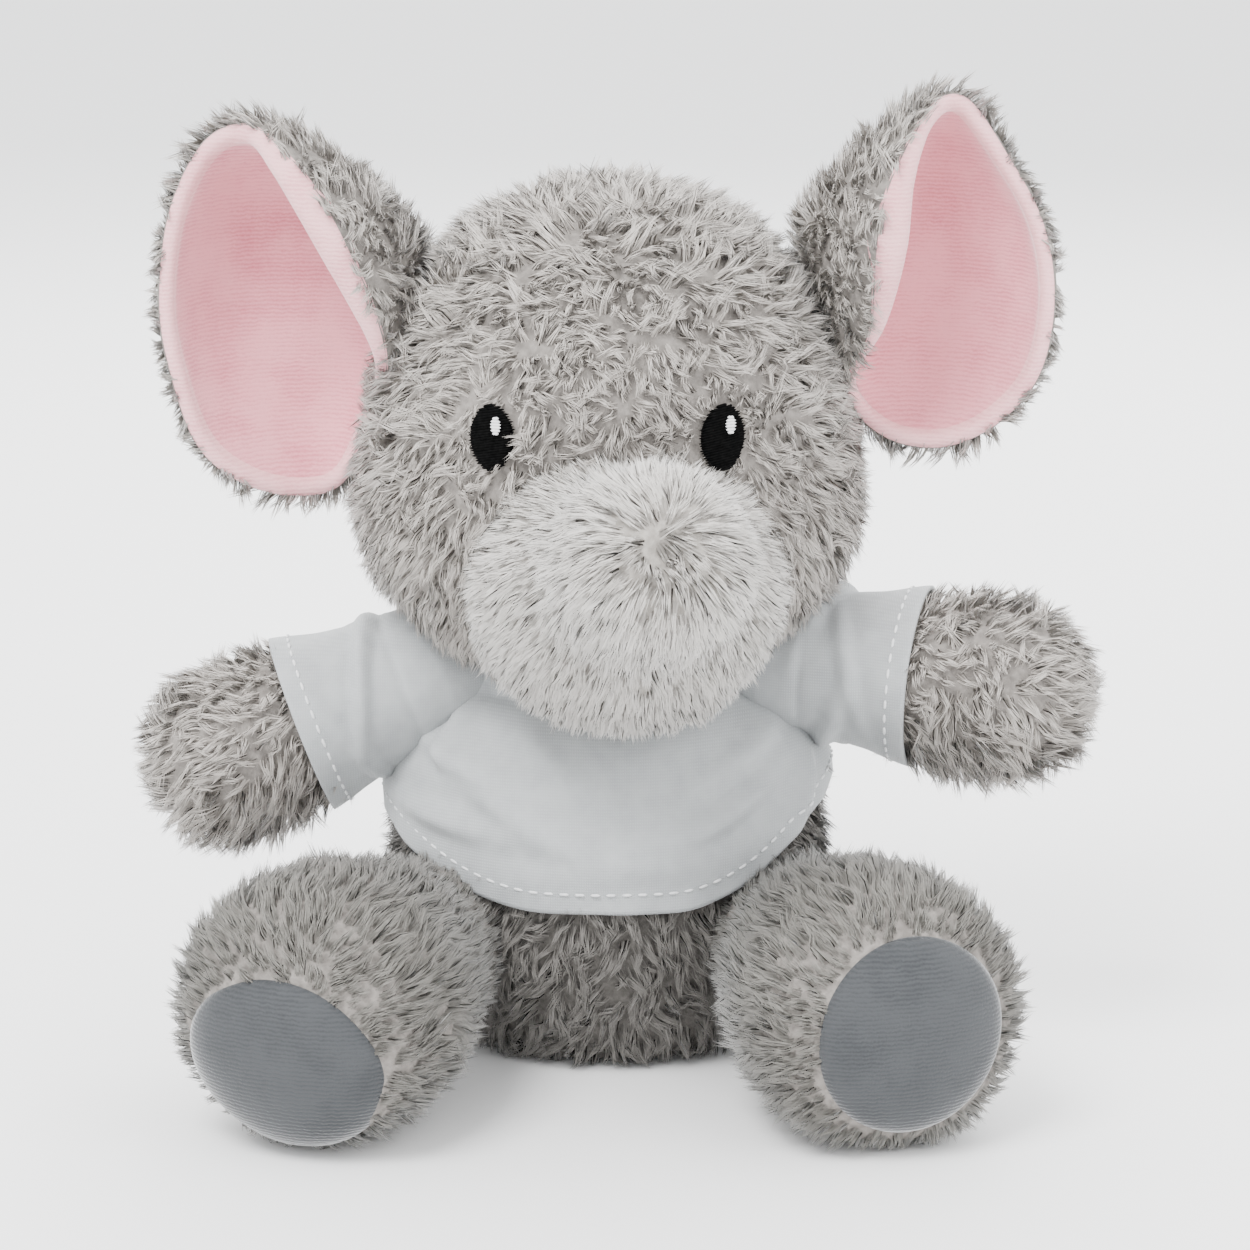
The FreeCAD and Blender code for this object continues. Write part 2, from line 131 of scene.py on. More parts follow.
def material(name, roughness, sheen=0.0, sheen_rough=0.5, subsurface=0.0):
    mat = bpy.data.materials.new(name)
    mat.use_nodes = True
    shader = mat.node_tree.nodes["Principled BSDF"]
    shader.inputs["Roughness"].default_value = roughness
    shader.inputs["Specular IOR Level"].default_value = 0.25
    shader.inputs["Sheen Weight"].default_value = sheen
    shader.inputs["Sheen Roughness"].default_value = sheen_rough
    if subsurface:
        shader.inputs["Subsurface Weight"].default_value = subsurface
        shader.inputs["Subsurface Radius"].default_value = (0.8, 0.7, 0.7)
        shader.inputs["Subsurface Scale"].default_value = 1.2 * MM
    return mat, shader


def node(mat, kind, **values):
    made = mat.node_tree.nodes.new(kind)
    for key, value in values.items():
        if key in made.inputs:
            made.inputs[key].default_value = value
        else:
            setattr(made, key, value)
    return made


def join(mat, source, out, target, into):
    mat.node_tree.links.new(source.outputs[out], target.inputs[into])


def math_of(mat, operation, *values):
    """A math node on numbers and on (node, output) pairs."""
    made = node(mat, "ShaderNodeMath", operation=operation)
    for number, value in enumerate(values):
        if isinstance(value, tuple):
            join(mat, *value, made, number)
        else:
            made.inputs[number].default_value = value
    return made


DYE = 0.8  # darkens every fabric and thread, whose colours are written for softer light


def ramp(mat, stops):
    made = node(mat, "ShaderNodeValToRGB")
    elements = made.color_ramp.elements
    for number, (place, colour) in enumerate(stops):
        element = elements[number] if number < 2 else elements.new(place)
        element.position = place
        element.color = (*(DYE * part for part in colour), 1)
    return made


def noise_colour(mat, shader, scale, dark, light):
    """Base colour that wanders between two tones; gives back the noise."""
    place = node(mat, "ShaderNodeTexCoord")
    noise = node(mat, "ShaderNodeTexNoise", Scale=scale, Detail=4.0)
    tones = ramp(mat, [(0.35, dark), (0.65, light)])
    join(mat, place, "Object", noise, "Vector")
    join(mat, noise, "Fac", tones, "Fac")
    join(mat, tones, "Color", shader, "Base Color")
    return noise


def bump_of(mat, shader, height_node, out, distance, strength=1.0):
    bump = node(mat, "ShaderNodeBump", Distance=distance, Strength=strength)
    join(mat, height_node, out, bump, "Height")
    join(mat, bump, "Normal", shader, "Normal")


def fur_tone(name, colour):
    """One constant tone of pile fibre; the pattern comes from many fibres in several tones."""
    mat, shader = material(name, 0.78, sheen=0.35, sheen_rough=0.4)
    shader.inputs["Base Color"].default_value = (*(DYE * part for part in colour), 1)
    return mat


def fur_backing(name, dark, light):
    """The knitted backing between the fibres, in shade."""
    mat, shader = material(name, 0.95)
    noise = noise_colour(mat, shader, 700, dark, light)
    bump_of(mat, shader, noise, "Fac", 0.4 * MM)
    return mat


RIB = 0.75


def wave_scale(pitch):
    """The wave texture's scale for ridges this many mm apart."""
    return 2 * math.pi / (20 * pitch * MM)


def velour(name, dark, light):
    """Short brushed knit: fine ribs, soft blotches where the nap lies differently, sheen at the edges."""
    mat, shader = material(name, 0.85, sheen=0.75, sheen_rough=0.35, subsurface=0.25)
    place = node(mat, "ShaderNodeTexCoord")
    blotch = node(mat, "ShaderNodeTexNoise", Scale=120, Detail=5.0)
    nap = node(mat, "ShaderNodeTexNoise", Scale=2600, Detail=3.0)
    turn = node(mat, "ShaderNodeMapping")
    turn.inputs["Rotation"].default_value = (0, 0, 1)
    ribs = node(mat, "ShaderNodeTexWave", Scale=wave_scale(RIB), Distortion=3.2)
    ribs.bands_direction = "Z"
    ribs.inputs["Detail Scale"].default_value = 1.5
    join(mat, place, "Object", turn, "Vector")
    join(mat, turn, "Vector", ribs, "Vector")
    for texture in (blotch, nap):
        join(mat, place, "Object", texture, "Vector")
    tones = ramp(mat, [(0.3, dark), (0.7, light)])
    patchy = math_of(mat, "MULTIPLY_ADD", (blotch, "Fac"), 0.55, 0.16)
    ribbed = math_of(mat, "MULTIPLY_ADD", (ribs, "Fac"), 0.16, (patchy, "Value"))
    fine = math_of(mat, "MULTIPLY_ADD", (nap, "Fac"), 0.25, (ribbed, "Value"))
    join(mat, fine, "Value", tones, "Fac")
    join(mat, tones, "Color", shader, "Base Color")
    bump_of(mat, shader, fine, "Value", 0.35 * MM, 0.9)
    return mat


def jersey():
    """Cotton jersey: rows of fine knit loops and a faint cool unevenness."""
    mat, shader = material("jersey_white_cloth", 0.82, sheen=0.2, subsurface=0.12)
    place = node(mat, "ShaderNodeTexCoord")
    rows = node(mat, "ShaderNodeTexWave", Scale=wave_scale(0.42), Distortion=0.8)
    rows.bands_direction = "X"
    cross = node(mat, "ShaderNodeTexWave", Scale=wave_scale(0.5), Distortion=0.8)
    cross.bands_direction = "Z"
    slub = node(mat, "ShaderNodeTexNoise", Scale=260, Detail=5.0)
    for texture in (rows, cross, slub):
        join(mat, place, "Object", texture, "Vector")
    knit = math_of(mat, "MULTIPLY", (rows, "Fac"), (cross, "Fac"))
    blend = math_of(mat, "MULTIPLY_ADD", (knit, "Value"), 0.5, (slub, "Fac"))
    tones = ramp(mat, [(0.25, (0.375, 0.392, 0.402)), (0.85, (0.485, 0.503, 0.51))])
    join(mat, blend, "Value", tones, "Fac")
    join(mat, tones, "Color", shader, "Base Color")
    bump_of(mat, shader, blend, "Value", 0.12 * MM, 0.7)
    return mat


def thread(name, dark, light, roughness, shine=0.2):
    mat, shader = material(name, roughness, sheen=0.2 * shine)
    shader.inputs["Specular IOR Level"].default_value = shine
    noise = noise_colour(mat, shader, 1500, dark, light)
    bump_of(mat, shader, noise, "Fac", 0.1 * MM)
    return mat


FUR = {
    # deep root, root, body, pale body, tip, bright tip
    "grey": ((0.27, 0.242, 0.216), (0.38, 0.345, 0.312), (0.49, 0.45, 0.41),
             (0.57, 0.526, 0.482), (0.64, 0.594, 0.548), (0.72, 0.67, 0.622)),
    # belly: the grey pile made darker, painted shade for the body below the shirt
    "belly": ((0.10, 0.093, 0.085), (0.14, 0.131, 0.120), (0.185, 0.174, 0.160),
              (0.225, 0.212, 0.196), (0.265, 0.25, 0.232), (0.31, 0.292, 0.272)),
    # leg: the grey pile made darker, painted shade on the legs
    "leg": ((0.112, 0.105, 0.093), (0.146, 0.139, 0.124), (0.184, 0.175, 0.157),
            (0.213, 0.203, 0.183), (0.245, 0.234, 0.212), (0.282, 0.27, 0.246)),
    "pale": ((0.38, 0.355, 0.325), (0.52, 0.49, 0.455), (0.64, 0.61, 0.57),
             (0.71, 0.68, 0.64), (0.77, 0.74, 0.70), (0.83, 0.80, 0.76)),
}
TONES = {
    name: [fur_tone("fur_%s_%d" % (name, number), tone) for number, tone in enumerate(tones)]
    for name, tones in FUR.items()
}
BACKING = fur_backing("fur_backing_grey", (0.20, 0.183, 0.167), (0.31, 0.285, 0.262))
BACKING_PALE = fur_backing("fur_backing_pale", (0.34, 0.315, 0.285), (0.48, 0.45, 0.41))
# the backing below the shirt is made darker too: painted shade
BACKING_BELLY_SHADED = fur_backing("fur_backing_belly", (0.08, 0.074, 0.068), (0.14, 0.131, 0.12))
PINK = velour("velour_pink_knit", (0.60, 0.15, 0.21), (0.93, 0.42, 0.47))
# a paler copy of the pink lining for the rolled rim: painted highlight
PINK_RIM_HIGHLIGHT = velour("velour_pink_rim_highlight", (0.72, 0.27, 0.32), (0.98, 0.56, 0.58))
BLUE_GREY = velour("velour_blue_grey_knit", (0.022, 0.025, 0.028), (0.064, 0.068, 0.073))
JERSEY = jersey()
WHITE_THREAD = thread("thread_white_cotton", (0.78, 0.79, 0.80), (0.92, 0.92, 0.92), 0.6)
BLACK_THREAD = thread("thread_black_satin", (0.001, 0.001, 0.001), (0.004, 0.004, 0.004), 0.6, shine=0.02)


# ---------------------------------------------------------------- meshes


def in_scene(name, data):
    made = bpy.data.objects.new(name, data)
    bpy.context.scene.collection.objects.link(made)
    return made


def carry(made, body, slot, *nodes):
    """Hang a piece on the moving body it rides and hide the CAD nodes it stands for; slot, what it is made
    of, is not used.
    """
    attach(made, body)
    if nodes:
        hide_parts(*nodes)


def new_object(name, vertices, faces, mat):
    """A smooth object from points in mm and faces of any size."""
    mesh = bpy.data.meshes.new(name)
    mesh.from_pydata((np.asarray(vertices) * MM).tolist(), [], [list(map(int, f)) for f in faces])
    mesh.materials.append(mat)
    mesh.polygons.foreach_set("use_smooth", [True] * len(mesh.polygons))
    mesh.update()
    return in_scene(name, mesh)


def grid_faces(rows, columns, offset=0):
    """Quads between neighbouring rings of points."""
    r, c = np.meshgrid(np.arange(rows - 1), np.arange(columns), indexing="ij")
    after = (c + 1) % columns
    a, b = r * columns + c, r * columns + after
    d, e = (r + 1) * columns + c, (r + 1) * columns + after
    return (np.stack([a, b, e, d], axis=-1).reshape(-1, 4) + offset).tolist()


# Points are thinned to one in each cubic cell; these large factors make a cell's three whole numbers one.
CELL_FACTORS = np.array([73856093, 19349663, 83492791])
DRAWN_PER_CELL, CELL_SIZE = 2.2, 1.06


class Skin:
    """A surface kept as points, faces, triangles and outward normals."""

    def __init__(self, points, faces):
        self.points, self.faces = points, faces
        self.finish()

    @classmethod
    def closed(cls, rings, first, last):
        """Rings of points between two poles."""
        rows, columns, _ = rings.shape
        start, end = rows * columns, rows * columns + 1
        faces = grid_faces(rows, columns)
        for c in range(columns):
            after = (c + 1) % columns
            faces.append([start, after, c])
            faces.append([(rows - 1) * columns + c, (rows - 1) * columns + after, end])
        return cls(np.concatenate([rings.reshape(-1, 3), [first], [last]]), faces)

    def finish(self):
        """Work out triangles, areas and normals, and turn the faces outwards."""
        triangles = []
        for face in self.faces:
            triangles.append(face[:3])
            if len(face) == 4:
                triangles.append([face[0], face[2], face[3]])
        self.triangles = np.array(triangles)
        p = self.points
        a, b, c = (p[self.triangles[:, k]] for k in range(3))
        cross = np.cross(b - a, c - a)
        centre = p.mean(axis=0)
        if (cross * ((a + b + c) / 3 - centre)).sum() < 0:
            self.faces = [face[::-1] for face in self.faces]
            self.triangles = self.triangles[:, ::-1]
            cross = -cross
        self.areas = np.linalg.norm(cross, axis=1) / 2
        self.normals = np.zeros_like(p)
        for k in range(3):
            np.add.at(self.normals, self.triangles[:, k], cross)
        self.normals = unit(self.normals)

    def turn_to_back(self):
        """An ear's fur grows away from its lining, towards +Y."""
        if self.normals[:, 1].sum() < 0:
            self.triangles = self.triangles[:, ::-1]
            self.normals = -self.normals

    def build(self, name, mat):
        return new_object(name, self.points, self.faces, mat)

    def tree(self):
        return BVHTree.FromPolygons(self.points.tolist(), self.faces)

    def scatter(self, spacing, seed):
        """Evenly spread points on the surface, with their normals."""
        draw = np.random.default_rng(seed)
        count = int(self.areas.sum() / spacing**2 * DRAWN_PER_CELL)
        share = self.areas / self.areas.sum()
        chosen = self.triangles[draw.choice(len(share), count, p=share)]
        u, v = draw.random(count), draw.random(count)
        over = u + v > 1
        u[over], v[over] = 1 - u[over], 1 - v[over]
        weights = np.stack([1 - u - v, u, v], axis=-1)[..., None]
        places = (self.points[chosen] * weights).sum(axis=1)
        normals = unit((self.normals[chosen] * weights).sum(axis=1))
        cells = np.floor(places / (spacing * CELL_SIZE)).astype(np.int64)
        _, keep = np.unique(cells @ CELL_FACTORS, return_index=True)
        return places[keep], normals[keep]


def ball_directions(rows, columns):
    """Rings of unit vectors from +Z down to -Z, poles left out."""
    polar = (np.arange(rows) + 1) * math.pi / (rows + 1)
    p, a = np.meshgrid(polar, round_angles(columns), indexing="ij")
    return np.stack([np.sin(p) * np.cos(a), np.sin(p) * np.sin(a), np.cos(p)], axis=-1)


def ray_to_ellipsoid(origin, directions, centre, half):
    """How far each ray from an inside point runs to the ellipsoid."""
    start, heading = (origin - centre) / half, directions / half
    a = (heading**2).sum(-1)
    b = (heading * start).sum(-1)
    c = (start**2).sum(-1) - 1
    return (-b + np.sqrt(np.maximum(b * b - a * c, 0))) / a


SHARPNESS = 10


def blended_reach(origin, directions, ellipsoids):
    """The outer reach of several ellipsoids together, with soft creases."""
    total = 0
    for centre, half in ellipsoids:
        total = total + ray_to_ellipsoid(origin, directions, centre, half) ** SHARPNESS
    return total ** (1 / SHARPNESS)


def catmull_rom(a, b, c, d, t):
    return 0.5 * (2 * b + (c - a) * t + (2 * a - 5 * b + 4 * c - d) * t**2 + (3 * b - a - 3 * c + d) * t**3)


def spline(values, places):
    """Catmull-Rom through the values at whole numbers 0, 1, 2 and so on."""
    values = np.asarray(values, float)
    padded = np.concatenate([[2 * values[0] - values[1]], values, [2 * values[-1] - values[-2]]])
    k = np.clip(np.floor(places).astype(int), 0, len(values) - 2)
    t = (places - k).reshape([-1] + [1] * (values.ndim - 1))
    a, b, c, d = (padded[k + n] for n in range(4))
    return catmull_rom(a, b, c, d, t)


def closed_spline(values, count):
    """Catmull-Rom round a closed list of points."""
    values = np.asarray(values, float)
    places = np.arange(count) * len(values) / count
    k = np.floor(places).astype(int)
    t = (places - k)[:, None]
    a, b, c, d = (values[(k + n - 1) % len(values)] for n in range(4))
    return catmull_rom(a, b, c, d, t)


def limb(origin, axis, stations, rows, columns, flat_floor=None, wobble=0.0, seed=0, wide=1.0):
    """A turned soft form: stations are (how far along the axis, radius), both ends closed.

    wide stretches it sideways, wobble is how far its surface wanders in mm."""
    stations = np.array(stations, float)
    places = np.linspace(0, len(stations) - 1, rows + 2)
    profile = spline(stations, places)
    axis = unit(axis)
    side = unit(np.cross(axis, UP))
    rise = np.cross(side, axis)
    around = round_angles(columns)
    rings = origin + profile[1:-1, None, :1] * axis + np.maximum(profile[1:-1, None, 1:], 0.05) * (
        np.cos(around)[None, :, None] * side * wide + np.sin(around)[None, :, None] * rise)
    skin = Skin.closed(rings, origin + profile[0, 0] * axis, origin + profile[-1, 0] * axis)
    if wobble:
        skin.points = skin.points + skin.normals * waves(skin.points, 22, seed)[:, None] * wobble
    if flat_floor is not None:
        skin.points[:, 2] = rest_on_floor(skin.points[:, 2], flat_floor)
    skin.finish()
    return skin


def rest_on_floor(height, lowest):
    """Heights that run out softly on the floor instead of passing it."""
    soft = 1.2
    return lowest + np.logaddexp(0, (height - lowest) / soft) * soft - soft * math.log(2) * np.exp(
        -np.abs(height - lowest) / soft)


# ---------------------------------------------------------------- fur


FIBRE_ROWS = 2
TUFT_SPACING = {"body": 1.75, "arm": 1.75, "leg": 1.7, "head": 1.5, "trunk": 1.45, "ear": 1.5, "tail": 1.35}
SOFTEN = 0.8  # how much of a fibre's shading comes from the skin below it
BODY_TONES = np.array([1.6, 3.4])  # middle tone of a fibre's lower and upper part


def plant_fur(name, places, normals, flow, length, tones, seed, fibres=17, spread=1.1, lean=0.75,
              bend=0.7, gather=0.66, curl=0.6, width=0.22, shade=0.0):
    """Tufts of tapered fibres: each tuft leans along flow and its fibres gather towards the tip.

    Lengths are in mm, lean and bend in radians from the normal. shade moves a tuft's tone by that
    many steps towards the light ones."""
    draw = np.random.default_rng(seed)
    n = len(places)
    flow = flow - normals * (flow * normals).sum(-1, keepdims=True)
    flow = unit(flow + 1e-4)
    aside = np.cross(normals, flow)
    lean = np.broadcast_to(lean, n) + draw.normal(0, 0.16, n)
    twist = draw.normal(0, curl, n)
    length = np.broadcast_to(length, n) * draw.uniform(0.8, 1.15, n)

    steps = np.arange(FIBRE_ROWS + 1) / FIBRE_ROWS
    spine = [np.zeros((n, 3))]
    for k in range(FIBRE_ROWS):
        angle = lean + bend * steps[k]
        swing = twist * steps[k]
        along = flow * np.cos(swing)[:, None] + aside * np.sin(swing)[:, None]
        heading = normals * np.cos(angle)[:, None] + along * np.sin(angle)[:, None]
        spine.append(spine[-1] + heading * (length / FIBRE_ROWS)[:, None])
    spine = np.stack(spine, axis=1)

    radius = spread * np.sqrt(draw.random((n, fibres)))
    turn = draw.random((n, fibres)) * 2 * math.pi
    offset = ((radius * np.cos(turn))[..., None] * flow[:, None]
              + (radius * np.sin(turn))[..., None] * aside[:, None])
    scale = draw.uniform(0.72, 1.08, (n, fibres))
    closing = 1 - gather * steps**0.8
    loose = draw.normal(0, 0.28, (n, fibres, 3))
    centre = (places[:, None, None] - normals[:, None, None] * 0.5
              + spine[:, None] * scale[..., None, None]
              + offset[:, :, None] * closing[None, None, :, None]
              + loose[:, :, None] * (steps**1.5)[None, None, :, None])
    count = n * fibres
    centre = centre.reshape(count, FIBRE_ROWS + 1, 3)
    centre[..., 2] = np.maximum(centre[..., 2], 0.25 + 0.5 * draw.random((count, 1)))  # off the floor

    outward = np.repeat(normals, fibres, axis=0)
    heading = unit(centre[:, 1:] - centre[:, :-1])
    facing = unit(outward + draw.normal(0, 0.55, (count, 3)))
    across = unit(np.cross(heading[:, 0], facing))
    half = width / 2 * (1 - steps[:-1] * 0.42) * draw.uniform(0.8, 1.2, (count, 1))
    left = centre[:, :-1] - across[:, None] * half[..., None]
    right = centre[:, :-1] + across[:, None] * half[..., None]
    per = 2 * FIBRE_ROWS + 1
    vertices = np.empty((count, per, 3))
    vertices[:, 0:-1:2] = left
    vertices[:, 1:-1:2] = right
    vertices[:, -1] = centre[:, -1]

    face_normal = unit(np.cross(across[:, None], heading))
    face_normal *= np.sign((face_normal * outward[:, None]).sum(-1, keepdims=True) + 1e-9)
    bent = unit(outward[:, None] * SOFTEN + face_normal * (1 - SOFTEN) + heading * 0.18)
    shading = np.empty((count, per, 3))
    shading[:, 0:-1:2] = bent
    shading[:, 1:-1:2] = bent
    shading[:, -1] = bent[:, -1]

    quad = np.array([[2 * k, 2 * k + 1, 2 * k + 3, 2 * k + 2] for k in range(FIBRE_ROWS - 1)]).reshape(-1)
    tip = np.array([per - 3, per - 2, per - 1])
    pattern = np.concatenate([quad, tip])
    loops = (np.arange(count)[:, None] * per + pattern[None]).reshape(-1)
    sizes = np.tile([4] * (FIBRE_ROWS - 1) + [3], count)
    starts = np.concatenate([[0], np.cumsum(sizes)[:-1]])

    level = np.repeat(shade + draw.normal(0, 0.25, n), fibres) + draw.normal(0, 0.35, count)
    bright = np.clip(np.round(level[:, None] + BODY_TONES[None]), 0, 5).astype(int)

    mesh = bpy.data.meshes.new(name)
    mesh.vertices.add(count * per)
    mesh.vertices.foreach_set("co", (vertices.reshape(-1) * MM).astype(np.float32))
    mesh.loops.add(len(loops))
    mesh.loops.foreach_set("vertex_index", loops.astype(np.int32))
    mesh.polygons.add(len(sizes))
    mesh.polygons.foreach_set("loop_start", starts.astype(np.int32))
    for tone in tones:
        mesh.materials.append(tone)
    mesh.polygons.foreach_set("material_index", bright.reshape(-1).astype(np.int32))
    mesh.update()
    mesh.polygons.foreach_set("use_smooth", np.ones(len(sizes), bool))
    mesh.normals_split_custom_set_from_vertices(shading.reshape(-1, 3).astype(np.float32))
    return in_scene(name, mesh)


# ---------------------------------------------------------------- the skins, from the frame

UNDER = 0.6  # the backing lies this far inside the CAD skin
HEAD_MIDDLE, HEAD_HALF = box_of("head_skin")
HEAD_TOP = HEAD_MIDDLE[2] + HEAD_HALF[2]
SKULL_TALL, CHEEK_TALL, CHEEK_DROP = 1.048, 0.69, 0.333
skull_half = np.array([HEAD_HALF[0], HEAD_HALF[1], HEAD_HALF[0] * SKULL_TALL])
skull = np.array([HEAD_MIDDLE[0], HEAD_MIDDLE[1], HEAD_TOP - skull_half[2]])
cheeks = skull - UP * HEAD_HALF[0] * CHEEK_DROP
cheek_half = np.array([HEAD_HALF[0], HEAD_HALF[1] * 0.97, HEAD_HALF[0] * CHEEK_TALL])
HEAD_HEART = (skull + cheeks) / 2


def ball_skin(heart, ellipsoids, rows, columns, floor=None):
    directions = ball_directions(rows, columns)
    reach = blended_reach(heart, directions, ellipsoids)
    rings = heart + directions * reach[..., None]
    poles = [heart + d * blended_reach(heart, d[None], ellipsoids)[0] for d in (UP, -UP)]
    skin = Skin.closed(rings, *poles)
    if floor is not None:
        skin.points[:, 2] = rest_on_floor(skin.points[:, 2], floor)
        skin.finish()
    return skin


def head_skin():
    skin = ball_skin(HEAD_HEART, [(skull, skull_half - UNDER), (cheeks, cheek_half - UNDER)], 70, 110)
    skin.points = skin.points + skin.normals * (waves(skin.points, 40, 11) * 0.35)[:, None]
    skin.finish()
    return skin


TORSO_MIDDLE, TORSO_HALF = box_of("torso_skin")
BELLY_TALL, BELLY_RISE = 1.077, 0.795
CHEST = (0.949, 0.735, 0.4615, 1.359)
belly_half = np.array([TORSO_HALF[0], TORSO_HALF[1], TORSO_HALF[0] * BELLY_TALL])
belly = np.array([TORSO_MIDDLE[0], TORSO_MIDDLE[1], TORSO_HALF[0] * BELLY_RISE])
chest_half = np.array([TORSO_HALF[0] * CHEST[0], TORSO_HALF[1] * CHEST[1], TORSO_HALF[0] * CHEST[2]])
chest = np.array([belly[0], belly[1], TORSO_HALF[0] * CHEST[3]])
TORSO_HEART = np.array([belly[0], belly[1], (belly[2] + chest[2]) / 2])
TORSO_FORMS = [(belly, belly_half - UNDER), (chest, chest_half - UNDER)]


def direction_of(node, pivot, level=False):
    heading = points_of(node).mean(axis=0) - pivot
    if level:
        heading[2] = 0
    return unit(heading)


def reach_of(node, pivot, axis):
    return ((points_of(node) - pivot) @ axis).max()


def stuffed(skin, name, mat, body, *nodes, slot, fill):
    """Build a soft form in place of its CAD nodes and hang it on its body; fill is not used."""
    made = skin.build(name, mat)
    carry(made, body, slot, *nodes)


# ---------------------------------------------------------------- torso

def torso_parts():
    skin = ball_skin(TORSO_HEART, TORSO_FORMS, 60, 96, floor=UNDER)
    stuffed(skin, "body_fur_backing", BACKING_BELLY_SHADED, "torso", "torso_skin", "torso_stuffing", "bean_bag",
            slot="fur_grey", fill=0.75)
    places, normals = skin.scatter(TUFT_SPACING["body"], 21)
    shirt_edge = hem_height(np.arctan2(places[:, 0] - belly[0], -(places[:, 1] - belly[1]))) + 5
    keep = (places[:, 2] < shirt_edge) & (normals[:, 2] > -0.93)
    places, normals = places[keep], normals[keep]
    flow = -UP * 0.8 + direction_field(places, 9, 31) * 1.1
    # tufts on the front of the body get darker tones than at its back and sides: painted shade; the waves are
    # random tone
    front = smooth_step(-places[:, 1], -10, 15)
    fur = plant_fur("body_fur", places, normals, flow, 5.2, TONES["belly"], 41, lean=0.7, gather=0.75,
                    curl=0.9, shade=0.45 * (1 - front) + waves(places, 12, 5) * 0.3)
    carry(fur, "torso", "fur_grey")


# ---------------------------------------------------------------- T-shirt

HEM_FRONT, HEM_SIDE_RIGHT, HEM_SIDE_LEFT, HEM_BACK = 32.0, 43.0, 48.5, 40.0
SHIRT_EASE = 1.5
COLLAR_HEIGHT = 74.5
COLLAR_FROM = 65.5  # above this the cloth goes straight up
SHIRT_RADIUS = 36
CLOTH_THICK, COLLAR_THICK = 0.7, 0.8
STITCH_PITCH, STITCH_RADIUS, STITCH_FILL = 2.75, 0.26, 0.62
HEM_DEPTH, STITCH_LIFT = 3.6, 0.45


def hem_height(around):
    """Hem height at an angle from the front: lowest in front, pushed up by the thighs at the sides."""
    turned = np.abs(around)
    side = np.where(around < 0, HEM_SIDE_RIGHT, HEM_SIDE_LEFT)
    to_back = smooth_step(turned, 1.7, 2.9)
    return mixed(mixed(HEM_FRONT, side, smooth_step(turned, 0.3, 1.6)), HEM_BACK, to_back)


FOLDS = [
    # angle from the front, height, direction of the ridge in degrees, length, width, lift, in mm
    (-0.85, 56, 166, 30, 2.8, 2.2),
    (-0.60, 50, 158, 26, 3.2, 1.7),
    (-1.05, 62, 118, 15, 2.2, 2.2),
    (-0.95, 46, 172, 22, 2.6, 1.8),
    (-0.35, 57, 150, 18, 2.6, 1.0),
    (0.95, 59, 22, 24, 2.6, 2.0),
    (0.78, 51, 26, 26, 3.0, 1.6),
    (1.15, 50, 62, 15, 2.4, 1.8),
    (0.45, 46, 14, 22, 3.0, 1.0),
    (0.10, 40, 4, 34, 4.0, 0.9),
    (-0.30, 44, 172, 24, 3.2, 0.9),
    (2.6, 52, 15, 24, 3.4, 1.4),
    (-2.6, 56, 165, 24, 3.4, 1.4),
    (3.1, 48, 90, 16, 3.0, 1.2),
    (2.1, 60, 40, 16, 2.6, 1.4),
    (-2.1, 60, 140, 16, 2.6, 1.4),
]


def fold_lift(around, height):
    """Wrinkles: each is a soft ridge with a valley on either side."""
    total = np.zeros_like(height)
    for at, middle, degrees, long, wide, lift in FOLDS:
        gap = (around - at + math.pi) % (2 * math.pi) - math.pi
        x, z = gap * SHIRT_RADIUS, height - middle
        c, s = math.cos(math.radians(degrees)), math.sin(math.radians(degrees))
        along, aside = x * c + z * s, -x * s + z * c
        envelope = np.exp(-((along / (long / 2)) ** 2))
        total += lift * envelope * np.exp(-((aside / wide) ** 2)) * (1 - 0.9 * (aside / wide) ** 2)
    return total


def shirt_point(around, height, out=0.0):
    """A point of the cloth at an angle from the front and a height."""
    target = np.stack([np.sin(around), -np.cos(around), np.zeros_like(around)], axis=-1)
    heart = np.zeros(around.shape + (3,)) + belly
    heart[..., 2] = height
    reach = 0
    for centre, half in TORSO_FORMS:
        inside = 1 - ((np.minimum(height, COLLAR_FROM) - centre[2]) / half[2]) ** 2
        flat = np.sqrt((target[..., 0] / half[0]) ** 2 + (target[..., 1] / half[1]) ** 2)
        reach = reach + (np.sqrt(np.maximum(inside, 0.004)) / flat) ** 8
    reach = reach ** (1 / 8)
    ease = SHIRT_EASE + 1.6 * smooth_step(height, 60, 40) + out
    return heart + target * (reach + ease + fold_lift(around, height))[..., None]


